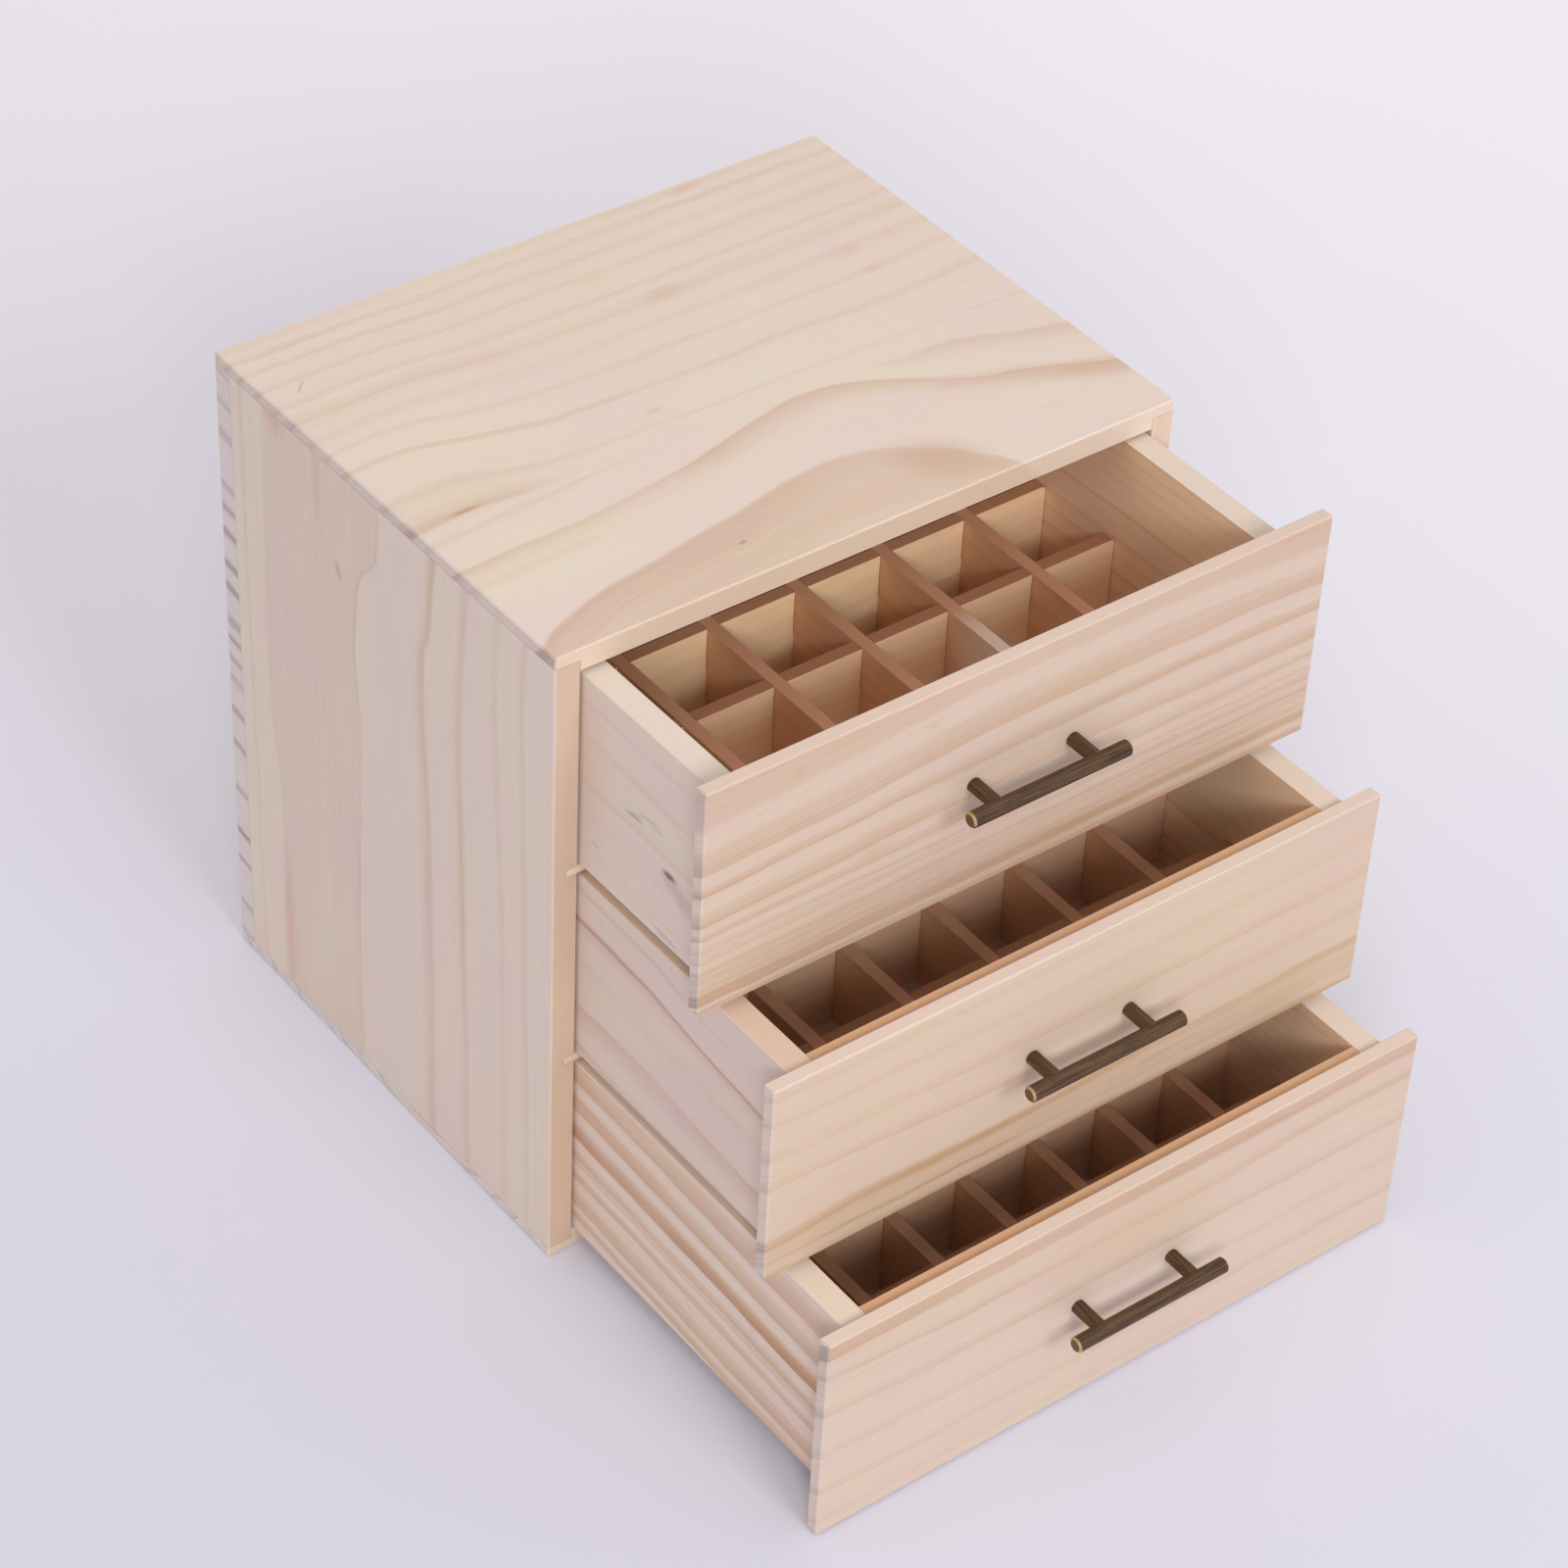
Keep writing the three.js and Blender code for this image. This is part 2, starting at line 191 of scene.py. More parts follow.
@dataclass(frozen=True)
class Pine:
    """Planed and sanded solid pine, unvarnished: the base of both kinds of board.

    The eye gets pale cream early wood, tan late wood, and a dry, nearly matt skin with fine
    lengthwise fibre, resin flecks and end grain.

    grain and across: the axes along the fibre and across the face.
    tones: early wood, middle, late wood and its heart; ends: pale and dark end grain.
    edge and edge_cover: what the long edges turn to, and how far.
    face: its place on the third axis in mm; slant: how far the rings lean per mm of depth.
    seed: the board's place in the noise; outer: early to late wood of the face to the right.
    vigour: (place along the grain in mm, strength) pairs of all its growth lines.
    """

    name: str
    grain: Axis
    across: Axis
    tones: tuple[str, str, str, str] = ("#E9D8CA", "#E1C9B6", "#D8B9A2", "#BC8F6B")
    ends: tuple[str, str] = ("#CDB8AA", "#8F7263")
    edge: str = "#E6C8A8"
    edge_cover: float = 0.5
    face: float = 0.0
    slant: float = 0.9
    seed: float = 0.0
    marks: tuple[Mark, ...] = ()
    outer: tuple[str, str, str] | None = None
    vigour: Pairs | None = None

    def depth(self) -> Axis:
        """Return the axis through the board's thickness."""
        return next(a for a in Axis if a not in (self.grain, self.across))

    def density(self, add: Add, spot: Spot) -> tuple[Socket, Socket]:
        """Give the darkness of the wood and its growth field, from a place in the board.

        Args:
            add: adds a node to the material.
            spot: its places along the grain, across it and below the face, in mm.

        Returns:
            The darkness, 0 in early wood and 1 in late wood, and the growth field in mm.
        """
        raise NotImplementedError

    def _noise(
        self, add: Add, spot: Socket, cells: Pair, detail: float, shift: float = 0.0
    ) -> Socket:
        """Fill the board with noise of so many cells per mm along the grain and across it."""
        along, across = cells
        place = add("Mapping", spot, {"Scale": (along, across, across)})
        return add(
            "TexNoise", place, {"W": self.seed + shift, "Scale": 1.0, "Detail": detail},
            noise_dimensions="4D",
        )

    def _warped(self, add: Add, spot: Socket, v: Socket, w: Socket) -> Socket:
        """Move the across coordinate by slow noise and by the depth times the ring slant."""
        wander = self._noise(add, spot, (0.02, 0.05), 3.0)
        shift = add("MapRange", wander, 0.0, 1.0, -2.2, 2.2, clamp=False)
        bent = add("Math/ADD", v, shift)
        return add("Math/MULTIPLY_ADD", w, self.slant, bent)

    def material(self) -> Material:
        """Build the board's material.

        Returns:
            The material, which reads Object coordinates and the surface's own direction.
        """
        material, add = blank(self.name)
        place = add("TexCoord", pick="Object")
        facing = add("TexCoord", pick="Normal")
        turned = add("SeparateXYZ", facing).node.outputs
        shown = [0.0, 0.0, 0.0]
        shown[self.depth().value] = -self.face
        ruled = add("Mapping", place, {"Scale": (1.0 / MM,) * 3, "Location": shown})
        split = add("SeparateXYZ", ruled).node.outputs
        u, v, w = (split[a.value] for a in (self.grain, self.across, self.depth()))
        spot = add("CombineXYZ", u, v, w)
        bent = self._warped(add, spot, v, w)
        dark, field = self.density(add, (u, bent, w))

        # Growth lines vary in strength along the board and have faint ones beside them.
        grown = add("CombineXYZ", u, field, self.seed)
        slow = add("Mapping", grown, {"Scale": (0.009, 0.05, 1.0)})
        uneven = add("TexNoise", slow, {"Scale": 1.0, "Detail": 1.0})
        swing = add("MapRange", uneven, 0.3, 0.7, 0.8, 1.15)
        dark = add("Math/MULTIPLY", dark, swing)
        if self.vigour is not None:
            strength = self._along(add, u, self.vigour)
            dark = add("Math/MULTIPLY", dark, strength)
        close = add("Mapping", grown, {"Scale": (0.004, 0.55, 1.0)})
        lines = add("TexNoise", close, {"Scale": 1.0, "Detail": 3.0})
        faint = add("MapRange", lines, 0.35, 0.7, -0.07, 0.12)
        dark = add("Math/ADD", dark, faint)

        # Fibre: 0.5 mm wide and about 25 mm long.
        fibre = self._noise(add, spot, (0.04, 2.0), 3.0)
        grainy = add("MapRange", fibre, 0.3, 0.7, -0.09, 0.09)
        toned = add("Math/ADD", dark, grainy)
        tone = add("MapRange", toned, 0.0, 1.6)
        wood = add("ValToRGB", tone, stops=tuple(zip((0.0, 0.31, 0.62, 1.0), self.tones)))
        # The face to the right gets its own, paler tones; the other faces keep the board's tones.
        if self.outer is not None:
            right_face_wood = add("ValToRGB", tone, stops=tuple(zip((0.0, 0.31, 1.0), self.outer)))
            outside = add("MapRange", turned["X"], 0.4, 0.6)
            wood = add("Mix/RGBA", outside, wood, right_face_wood)

        # Slow drift of the whole board between cream and pink.
        drift = self._noise(add, spot, (0.012, 0.035), 4.0, 3.0)
        blush = add("MapRange", drift, 0.35, 0.65)
        tint = add("Mix/RGBA", blush, linear("#FFFDF3"), linear("#FFF8F8"))
        wood = add("Mix/RGBA", 1.0, wood, tint, blend_type="MULTIPLY")

        # Resin canals: dashes 0.4 mm wide and up to 8 mm long.
        canal = self._noise(add, spot, (0.12, 2.4), 0.0, 7.0)
        fleck = add("MapRange", canal, 0.68, 0.78, 0.0, 0.35)

        # Long edges: planed across the rings, warmer than the face.
        narrow = add("Math/ABSOLUTE", turned[self.across.value])
        rim = add("MapRange", narrow, 0.6, 0.8, 0.0, self.edge_cover)

        # End grain: sawn across the fibre, greyer and darker, with the rings in section.
        cross = add("Math/ABSOLUTE", turned[self.grain.value])
        ends = add("MapRange", cross, 0.6, 0.8)
        pores = add("TexNoise", spot, {"Scale": 1.6, "Detail": 2.0})
        pitted = add("MapRange", pores, 0.35, 0.7, -0.08, 0.2)
        section = add("Math/MULTIPLY_ADD", dark, 0.8, pitted)
        cut = add("ValToRGB", section, stops=tuple(zip((0.0, 1.0), self.ends)))

        late, edge = linear(self.tones[2]), linear(self.edge)
        for cover, layer in ((fleck, late), (rim, edge), (ends, cut)):
            wood = add("Mix/RGBA", cover, wood, layer)
        for mark in self.marks:
            wood = self._marked(add, spot, wood, mark)

        rough = add("MapRange", fibre, 0.3, 0.7, 0.56, 0.7)
        relief = add("Math/MULTIPLY_ADD", dark, -0.35, fibre)
        bump = add("Bump", {"Height": relief, "Strength": 0.22, "Distance": 0.18 * MM})
        shader = add("BsdfPrincipled", {"Base Color": wood, "Roughness": rough, "Normal": bump})
        add("OutputMaterial", shader)
        return material

    def _along(self, add: Add, u: Socket, pairs: Pairs) -> Socket:
        """Read a strength from (place, strength) pairs along the grain.

        Args:
            add: adds a node to the material.
            u: place along the grain in mm.
            pairs: places in mm in rising order, with strengths of at most two.

        Returns:
            The strength.
        """
        first, last = pairs[0][0], pairs[-1][0]
        share = add("MapRange", u, first, last)
        points = tuple(((p - first) / (last - first), s / 2.0) for p, s in pairs)
        half = add("FloatCurve", 1.0, share, curve=points)
        return add("Math/MULTIPLY", half, 2.0)

    def _marked(self, add: Add, spot: Socket, wood: Socket, mark: Mark) -> Socket:
        """Lay a mark over the wood: full at its heart, gone at 1.6 times its size."""
        flat = add("VectorMath/MULTIPLY", spot, (1.0, 1.0, 0.0))
        inside = add(
            "Mapping", flat,
            {"Location": (*mark.at, 0.0), "Rotation": (0.0, 0.0, mark.turn), "Scale": (*mark.size, 1.0)},
            vector_type="TEXTURE",
        )
        far = add("VectorMath/LENGTH", inside, pick="Value")
        mask = add("MapRange", far, 0.3, 1.6, mark.cover, 0.0, interpolation_type="SMOOTHSTEP")
        return add("Mix/RGBA", mask, wood, linear(mark.colour))


@dataclass(frozen=True)
class FiguredPine(Pine):
    """Pine whose growth lines follow the board that is being copied.

    span: the first and last place along the grain in mm.
    rings: its growth lines, from the lowest across to the highest.
    base: (place across in mm, darkness) pairs of the broad tone.
    samples: places along the grain at which a line's mean height is taken.
    margin: how far the curves' range goes past the lines, in mm.
    below and above: how far the shades go past the first and last line, in mm.
    """

    span: Pair = (-155.0, 155.0)
    rings: tuple[Ring, ...] = ()
    base: Pairs = ()
    samples: int = 65
    margin: float = 5.0
    below: float = 60.0
    above: float = 40.0

    def density(self, add: Add, spot: Spot) -> tuple[Socket, Socket]:
        """Give darkness and field: between two lines the field rises evenly from one to the next.

        Args:
            add: adds a node to the material.
            spot: its places along the grain, across it and below the face, in mm.

        Returns:
            The darkness and the growth field in mm.
        """
        u, v, _ = spot
        first, last = self.span
        rows = np.linspace(first, last, self.samples)
        paths = [np.array(ring.path, dtype=float) for ring in self.rings]
        levels = [float(np.interp(rows, p[:, 0], p[:, 1]).mean()) for p in paths]
        low = min(float(p[:, 1].min()) for p in paths) - self.margin
        high = max(float(p[:, 1].max()) for p in paths) + self.margin
        share = add("MapRange", u, first, last)
        height = add("MapRange", v, low, high, clamp=False)
        lines = []
        for path in paths:
            points = (path - (first, low)) / (last - first, high - low)
            lines.append(add("FloatCurve", 1.0, share, curve=tuple(points.tolist())))
        under = add("Math/SUBTRACT", height, lines[0])
        under = add("Math/MINIMUM", under, 0.0)
        field = add("Math/MULTIPLY_ADD", under, high - low, levels[0])
        for k in range(len(lines) - 1):
            step = add("MapRange", height, lines[k], lines[k + 1], 0.0, levels[k + 1] - levels[k])
            field = add("Math/ADD", field, step)
        over = add("Math/SUBTRACT", height, lines[-1])
        over = add("Math/MAXIMUM", over, 0.0)
        field = add("Math/MULTIPLY_ADD", over, high - low, field)

        fore, aft = levels[0] - self.below, levels[-1] + self.above
        reading = add("MapRange", field, fore, aft)
        ranked = list(zip(levels, self.rings))
        steady = [(level, ring) for level, ring in ranked if ring.along is None]
        dark = self._profile(add, reading, steady, (fore, aft), self.base)
        for level, ring in ranked:
            if ring.along is not None:
                local = self._profile(add, reading, [(level, ring)], (fore, aft), ())
                gain = self._along(add, u, ring.along)
                dark = add("Math/MULTIPLY_ADD", local, gain, dark)
        return dark, field

    def _profile(
        self, add: Add, reading: Socket, rings: list[tuple[float, Ring]],
        reach: Pair, base: Pairs,
    ) -> Socket:
        """Turn a place in the field into darkness, as the sum of the lines' shades there.

        Args:
            add: adds a node to the material.
            reading: the field, from 0 at its low end to 1 at its high end.
            rings: each line with its level in the field.
            reach: the field's low and high end in mm.
            base: the broad tone under the lines.

        Returns:
            The darkness.
        """
        fore, aft = reach
        spots = {fore, aft} | {place for place, _ in base}
        for level, ring in rings:
            spots |= {level + offset for offset, _ in ring.shade}
            spots |= {level + ring.shade[0][0] - 0.5, level + ring.shade[-1][0] + 0.5}
        places = np.array(sorted(s for s in spots if fore <= s <= aft))
        total = np.zeros_like(places)
        for level, ring in rings:
            offsets, shades = np.array(ring.shade, dtype=float).T
            total += np.interp(places - level, offsets, shades, left=0.0, right=0.0)
        if base:
            total += np.interp(places, *np.array(base, dtype=float).T)
        halves = np.clip(total / 2.0, 0.0, 1.0)
        points = np.stack([(places - fore) / (aft - fore), halves], -1)
        half = add("FloatCurve", 1.0, reading, curve=tuple(points.tolist()), sharp=True)
        return add("Math/MULTIPLY", half, 2.0)


@dataclass(frozen=True)
class SawnPine(Pine):
    """Pine sawn from a log: rings round a pith line near the board.

    pith: the pith's (across, depth) place in mm; taper: ring shift per mm along the grain.
    pitch: ring spacing in mm; tone: the darkness of late wood.
    """

    slant: float = 0.0
    pith: Pair = (40.0, 70.0)
    taper: float = 0.03
    pitch: float = 7.5
    tone: float = 0.6

    def density(self, add: Add, spot: Spot) -> tuple[Socket, Socket]:
        """Give darkness and field: the field is the distance to the pith plus the taper.

        Args:
            add: adds a node to the material.
            spot: its places along the grain, across it and below the face, in mm.

        Returns:
            The darkness, which climbs slowly and drops at once in each ring, and the field.
        """
        u, v, w = spot
        spoke = add("CombineXYZ", v, w)
        spoke = add("VectorMath/ADD", spoke, (-self.pith[0], -self.pith[1], 0.0))
        away = add("VectorMath/LENGTH", spoke, pick="Value")
        field = add("Math/MULTIPLY_ADD", u, self.taper, away)
        count = add("Math/DIVIDE", field, self.pitch)
        phase = add("Math/FRACT", count)
        whole = add("Math/FLOOR", count)
        year = add("TexWhiteNoise", whole, noise_dimensions="1D", pick="Value")
        vigour = add("MapRange", year, 0.0, 1.0, self.tone * 0.35, self.tone * 1.2)
        shape = ((0.0, 0.05), (0.12, 0.0), (0.5, 0.08), (0.85, 0.6), (0.94, 1.0), (1.0, 0.05))
        late = add("FloatCurve", 1.0, phase, curve=shape, sharp=True)
        return add("Math/MULTIPLY", late, vigour), field


@dataclass(frozen=True)
class Plywood:
    """Thin pine plywood: a rotary cut face, nearly plain.

    The eye gets a tan sheet with long, soft, cloudy figure.
    """

    name: str = "pine_plywood_painted_light"
    # The default tones are lighter than the wood: painted light on the top drawer's cell floors.
    pale: str = "#F6E3CB"
    dark: str = "#DFBE9C"

    def material(self) -> Material:
        """Build the plywood, with figure 60 mm long and 9 mm wide.

        Returns:
            The material.
        """
        material, add = blank(self.name)
        place = add("TexCoord", pick="Object")
        cloud = add("Mapping", place, {"Scale": (16.0, 110.0, 110.0)})
        figure = add("TexNoise", cloud, {"Scale": 1.0, "Detail": 3.0, "Distortion": 0.6})
        thread = add("Mapping", place, {"Scale": (50.0, 1800.0, 1800.0)})
        fibre = add("TexNoise", thread, {"Scale": 1.0, "Detail": 2.0})
        mixed = add("Math/MULTIPLY", figure, 0.75)
        mixed = add("Math/MULTIPLY_ADD", fibre, 0.25, mixed)
        wood = add("ValToRGB", mixed, stops=((0.34, self.pale), (0.66, self.dark)))
        rough = add("MapRange", fibre, 0.3, 0.7, 0.6, 0.72)
        bump = add("Bump", {"Height": fibre, "Strength": 0.2, "Distance": 0.15 * MM})
        shader = add("BsdfPrincipled", {"Base Color": wood, "Roughness": rough, "Normal": bump})
        add("OutputMaterial", shader)
        return material


@dataclass(frozen=True)
class AntiqueBronze:
    """Antique bronze: brass plated steel, darkened, brushed along its length and relieved.

    The eye gets a dark brown metal with fine streaks, and bright brass on the bevels near the
    bar's ends, partly rubbed wear and partly a painted highlight.
    turned: the axis that the brushing follows; rub: where along it the brass starts, in mm.
    """

    name: str
    turned: Axis
    brass_start: float
    dark: str = "#56473B"
    warm: str = "#8C6F54"
    brass: str = "#D2B988"

    def material(self) -> Material:
        """Build the metal, with brush lines 0.3 mm wide and about 20 mm long.

        Returns:
            The material.
        """
        material, add = blank(self.name)
        place = add("TexCoord", pick="Object")
        scale = [3300.0, 3300.0, 3300.0]
        scale[self.turned.value] = 50.0
        stretched = add("Mapping", place, {"Scale": scale})
        brushed = add("TexNoise", stretched, {"Scale": 1.0, "Detail": 3.0})
        blotch = add("TexNoise", place, {"Scale": 130.0, "Detail": 2.0})
        streak = add("MapRange", brushed, 0.42, 0.64, 0.0, 0.85)
        worn = add("MapRange", blotch, 0.45, 0.7, 0.0, 0.4)
        patina = add("Math/MAXIMUM", streak, worn)
        metal = add("Mix/RGBA", patina, linear(self.dark), linear(self.warm))
        # Brass near the bar's ends, strongest on the bevels: partly rubbed wear, partly a painted
        # highlight.
        along = add("SeparateXYZ", place).node.outputs[self.turned.value]
        away = add("Math/ABSOLUTE", along)
        near = add("MapRange", away, (self.brass_start - 0.25) * MM, (self.brass_start + 0.05) * MM, 0.0, 0.9)
        facing = add("TexCoord", pick="Normal")
        tipped = add("SeparateXYZ", facing).node.outputs[self.turned.value]
        tipped = add("Math/ABSOLUTE", tipped)
        bevel = add("MapRange", tipped, 0.85, 0.97, 1.0, 0.12)
        rim = add("Math/MULTIPLY", near, bevel)
        metal = add("Mix/RGBA", rim, metal, linear(self.brass))
        rough = add("MapRange", brushed, 0.3, 0.7, 0.32, 0.5)
        bump = add("Bump", {"Height": brushed, "Strength": 0.25, "Distance": 0.08 * MM})
        looks = {"Base Color": metal, "Metallic": 1.0, "Roughness": rough, "Normal": bump}
        shader = add("BsdfPrincipled", looks)
        add("OutputMaterial", shader)
        return material


@dataclass(frozen=True)
class StudioFloor:
    """Studio paper: pale lilac grey, matt, with painted light that makes it lighter to the right and far
    away.

    near and far: its tones at the left front and at the right rear.
    slope: how much it climbs per metre to the right and to the rear, between the two ends.
    """

    name: str = "studio_floor_paper_painted_light"
    near: str = "#D7D6E2"
    far: str = "#FCF8FE"
    painted_light_slope: Triple = (0.82, 0.57, 0.0)
    ends: Pair = (-0.35, 0.99)

    def material(self) -> Material:
        """Build the floor paint and return its material."""
        material, add = blank(self.name)
        place = add("TexCoord", pick="Object")
        mottle = add("TexNoise", place, {"Scale": 3.0, "Detail": 2.0})
        # Painted light: the paper's tone climbs to the right and to the rear.
        painted_light_slope = add("VectorMath/DOT_PRODUCT", place, self.painted_light_slope, pick="Value")
        tone = add("Math/MULTIPLY_ADD", mottle, 0.1, painted_light_slope)
        share = add("MapRange", tone, self.ends[0], self.ends[1])
        paint = add("ValToRGB", share, stops=((0.0, self.near), (1.0, self.far)))
        shader = add("BsdfPrincipled", {"Base Color": paint, "Roughness": 0.8})
        add("OutputMaterial", shader)
        return material


def put(name: str, data: bpy.types.ID) -> bpy.types.Object:
    """Put a new object with this data in the scene and return it."""
    thing = bpy.data.objects.new(name, data)
    bpy.context.scene.collection.objects.link(thing)
    return thing


def dress(node: str, material: Material) -> None:
    """Give a CAD node one material.

    Args:
        node: the node's name.
        material: its finish.
    """
    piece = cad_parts[node]
    if piece.material_slots:
        for place in piece.material_slots:
            place.material = material
    else:
        piece.data.materials.append(material)
    LOG.info("%s: %s", node, material.name)


def line(path: Pairs, before: float, dark: float, after: float) -> Ring:
    """Make a growth line that darkens over the mm before it and fades over those after it."""
    return Ring(path, ((-before, 0), (0, dark), (after, 0)))


LID = FiguredPine(
    "pine_lid", X, Y, tones=("#E7D9CD", "#DFCBBA", "#D5B9A5", "#BC8F6B"), face=323, edge="#F1D9C0",
    base=((-130, 0), (-60, 0), (30, 0.02), (50, 0.07), (123, 0.05)),
    vigour=((-155, 1), (-60, 0.95), (0, 0.9), (155, 0.85)), ends=("#DCCBC0", "#A98E80"),
    rings=(
        Ring(((-155, -115), (-145, -108), (-130, -103), (-118, -98.5), (-100, -95), (-70, -90.5),
            (-50, -87.5), (-30, -83), (-10, -79.5), (7, -78), (20, -80), (33, -84), (47, -92), (57, -99),
            (62, -106), (70, -115), (74, -122), (90, -136), (155, -150)),
            ((-60, 0.62), (-24, 0.64), (-13, 0.74), (-2, 0.86), (-0.8, 0.8), (1.2, 0))),
        Ring(((-155, -70), (-90, -69), (-50, -64), (0, -56), (28, -51), (60, -60), (90, -78),
            (155, -104)), ((-3, 0), (0, 0.3), (2.5, 0)), ((-155, 1), (-110, 1), (-80, 0), (155, 0))),
        Ring(((-155, -57.5), (-100, -55.5), (-60, -52), (-35, -47.5), (-10, -41.5), (10, -37),
            (28, -34.5), (40, -36), (55, -41), (70, -49), (85, -58.5), (98, -65), (112, -69), (125, -73),
            (140, -81), (155, -87)),
            ((-17, 0), (-11, 0.22), (-6.5, 0.5), (-3.5, 0.76), (-1, 0.95), (0.9, 0)),
            ((-155, 0.6), (-70, 0.6), (-20, 1), (155, 0.95))),
        Ring(((-155, -52), (-100, -50), (-60, -47), (-35, -43), (-10, -37.5), (10, -33), (28, -31),
            (40, -32), (55, -34), (75, -36), (100, -36.5), (115, -41), (130, -47), (155, -54)),
            ((-5.5, 0), (-3, 0.34), (-0.6, 0.72), (0.6, 0)),
            ((-155, 0), (50, 0), (78, 0.7), (105, 1), (155, 0.9))),
        Ring(((-155, -39), (-120, -36.5), (-90, -34.5), (-50, -32), (-10, -29.5), (28, -28), (75, -31),
            (155, -40)), ((-2.5, 0), (0, 0.36), (2, 0)), ((-155, 1), (-70, 0.9), (-40, 0), (155, 0))),
        Ring(((-155, -28), (-130, -27), (-110, -28), (-85, -29.5), (-50, -28), (0, -25.5), (60, -25.5),
            (155, -31)), ((-1, 0), (0, 0.95), (1.6, 0.6), (3.2, 0.3), (6, 0.14), (8, 0.16), (8.6, 0)),
            ((-155, 1), (-120, 1), (-95, 0.5), (-70, 0.1), (-40, 0), (155, 0))),
        Ring(((-155, -4), (-125, -3.5), (-110, -7), (-100, -11), (-75, -16), (-50, -18.5), (0, -21),
            (60, -22), (100, -24), (155, -25)), ((-3, 0), (-0.5, 0.34), (1.5, 0))),
        Ring(((-155, 20.5), (-135, 21.5), (-120, 19.5), (-105, 14.5), (-90, 11), (-65, 6.5), (-40, 5),
            (0, 4), (50, 4.5), (85, 2), (110, 2), (155, 5)), ((-3, 0), (-0.5, 0.44), (1, 0.38), (3, 0))),
        Ring(((-155, 34), (-145, 36.5), (-120, 36.5), (-100, 32), (-75, 27), (-50, 24.5), (0, 23.5),
            (100, 23.5), (155, 26.5)), ((-2.5, 0), (-0.5, 0.42), (2.5, 0))),
        line(((-155, 46), (-110, 48), (-75, 43), (-20, 40), (155, 43)), 3.5, 0.3, 3.5),
        Ring(((-155, 60), (-110, 62), (-75, 58.5), (-50, 55.5), (0, 54), (60, 55.5), (155, 57)),
            ((-4, 0), (0, 0.38), (3, 0.2), (8, 0))),
        Ring(((-155, 73), (-110, 74), (-60, 70), (0, 68), (155, 70)), ((-3, 0), (-0.5, 0.34), (3, 0))),
        Ring(((-155, 87), (-110, 88), (-60, 85.5), (155, 85.5)), ((-3.5, 0), (-0.5, 0.34), (3, 0))),
        line(((-155, 100), (-110, 100.5), (-60, 98), (155, 97.5)), 2.5, 0.36, 3),
        line(((-155, 109.5), (155, 109.5)), 2.5, 0.42, 3.5),
        line(((-155, 119), (155, 118.5)), 2.5, 0.26, 4),
    ),
    marks=(
        Mark((-140, 81), (3, 0.6), "#8A7A6E", 0.35, 0.9),
        Mark((-137, 84), (1.6, 0.5), "#8A7A6E", 0.3, 0.9), Mark((25, 57), (9, 4), "#CDB294", 0.3),
        Mark((-29, -11), (4, 1.6), "#CFB08F", 0.4), Mark((110, 40), (6, 3.5), "#E0B9A4", 0.3),
        Mark((133, 40), (3, 4), "#E0B9A4", 0.3), Mark((110, 23), (5, 2), "#DDB09C", 0.3),
        Mark((80, 118), (8, 3), "#DDB09C", 0.35), Mark((145, -88), (24, 6), "#CFA88B", 0.35, -0.35),
        Mark((5, -106), (26, 6), "#DFC3A6", 0.4, 0.1), Mark((5, 82), (8, 4), "#E6CFA8", 0.4),
        Mark((110, -15), (7, 3), "#E6CFA8", 0.4), Mark((140, 68), (6, 3), "#E6CFA8", 0.4),
        Mark((-52, -103), (1.8, 0.9), "#9A7868", 0.55, 0.25),
        Mark((-131, -25.5), (7, 1.2), "#B4805A", 0.5, 0.02),
        Mark((48, -103), (20, 13), "#CBA083", 0.4, -0.7),
    ),
)

SIDE_LEFT = FiguredPine(
    "pine_case_side", Z, Y, tones=("#E4D7CC", "#DCCABC", "#D0B4A2", "#B98F74"), edge="#CDA886",
    edge_cover=0.62, face=-155, slant=-0.9, span=(0, 323), seed=11,
    # Its growth lines weaken towards the bottom: partly the wood, partly painted light from the floor's
    # bounce.
    base=((-123, 0), (-30, 0.05), (-20, 0), (123, 0)), vigour=((0, 0.8), (160, 0.9), (323, 1)),
    rings=(
        line(((0, -107), (200, -103), (290, -101.5), (323, -103.5)), 2.5, 0.42, 4),
        line(((0, -90), (100, -89), (200, -86), (280, -82), (323, -85)), 2.5, 0.42, 4),
        Ring(((0, -62), (150, -59), (250, -57), (300, -60.5), (323, -63)),
            ((-3, 0), (-0.8, 0.62), (1.5, 0.5), (5, 0))),
        Ring(((0, -35), (180, -33), (240, -29), (262, -29), (280, -35), (300, -37), (323, -39)),
            ((-3.5, 0), (-1.6, 0.68), (1.8, 0.62), (4, 0.15), (9, 0))),
        Ring(((0, 21), (120, 20), (150, 18), (200, 17), (235, 20), (255, 18), (270, 15.5), (278, 12),
            (285, 6), (290, 2), (300, 1), (323, 1)),
            ((-1.2, 0), (0, 0.66), (2, 0.46), (8, 0.34), (40, 0.3), (64, 0.34), (67.5, 0.42), (69, 0))),
        line(((0, 82), (120, 84), (140, 88), (200, 90), (323, 88)), 3, 0.2, 1),
        line(((0, 101), (323, 104)), 1.5, 0.45, 3),
    ),
    marks=(
        Mark((303, 46), (20, 3.5), "#CFA28A", 0.25), Mark((40, 80), (42, 4), "#D0A288", 0.35),
        Mark((318, 78), (9, 7), "#CFA088", 0.35), Mark((268, 31), (4.5, 2), "#AD8A78", 0.42, 0.35),
        Mark((150, -8), (150, 16), "#DCD0CC", 0.45),
    ),
)

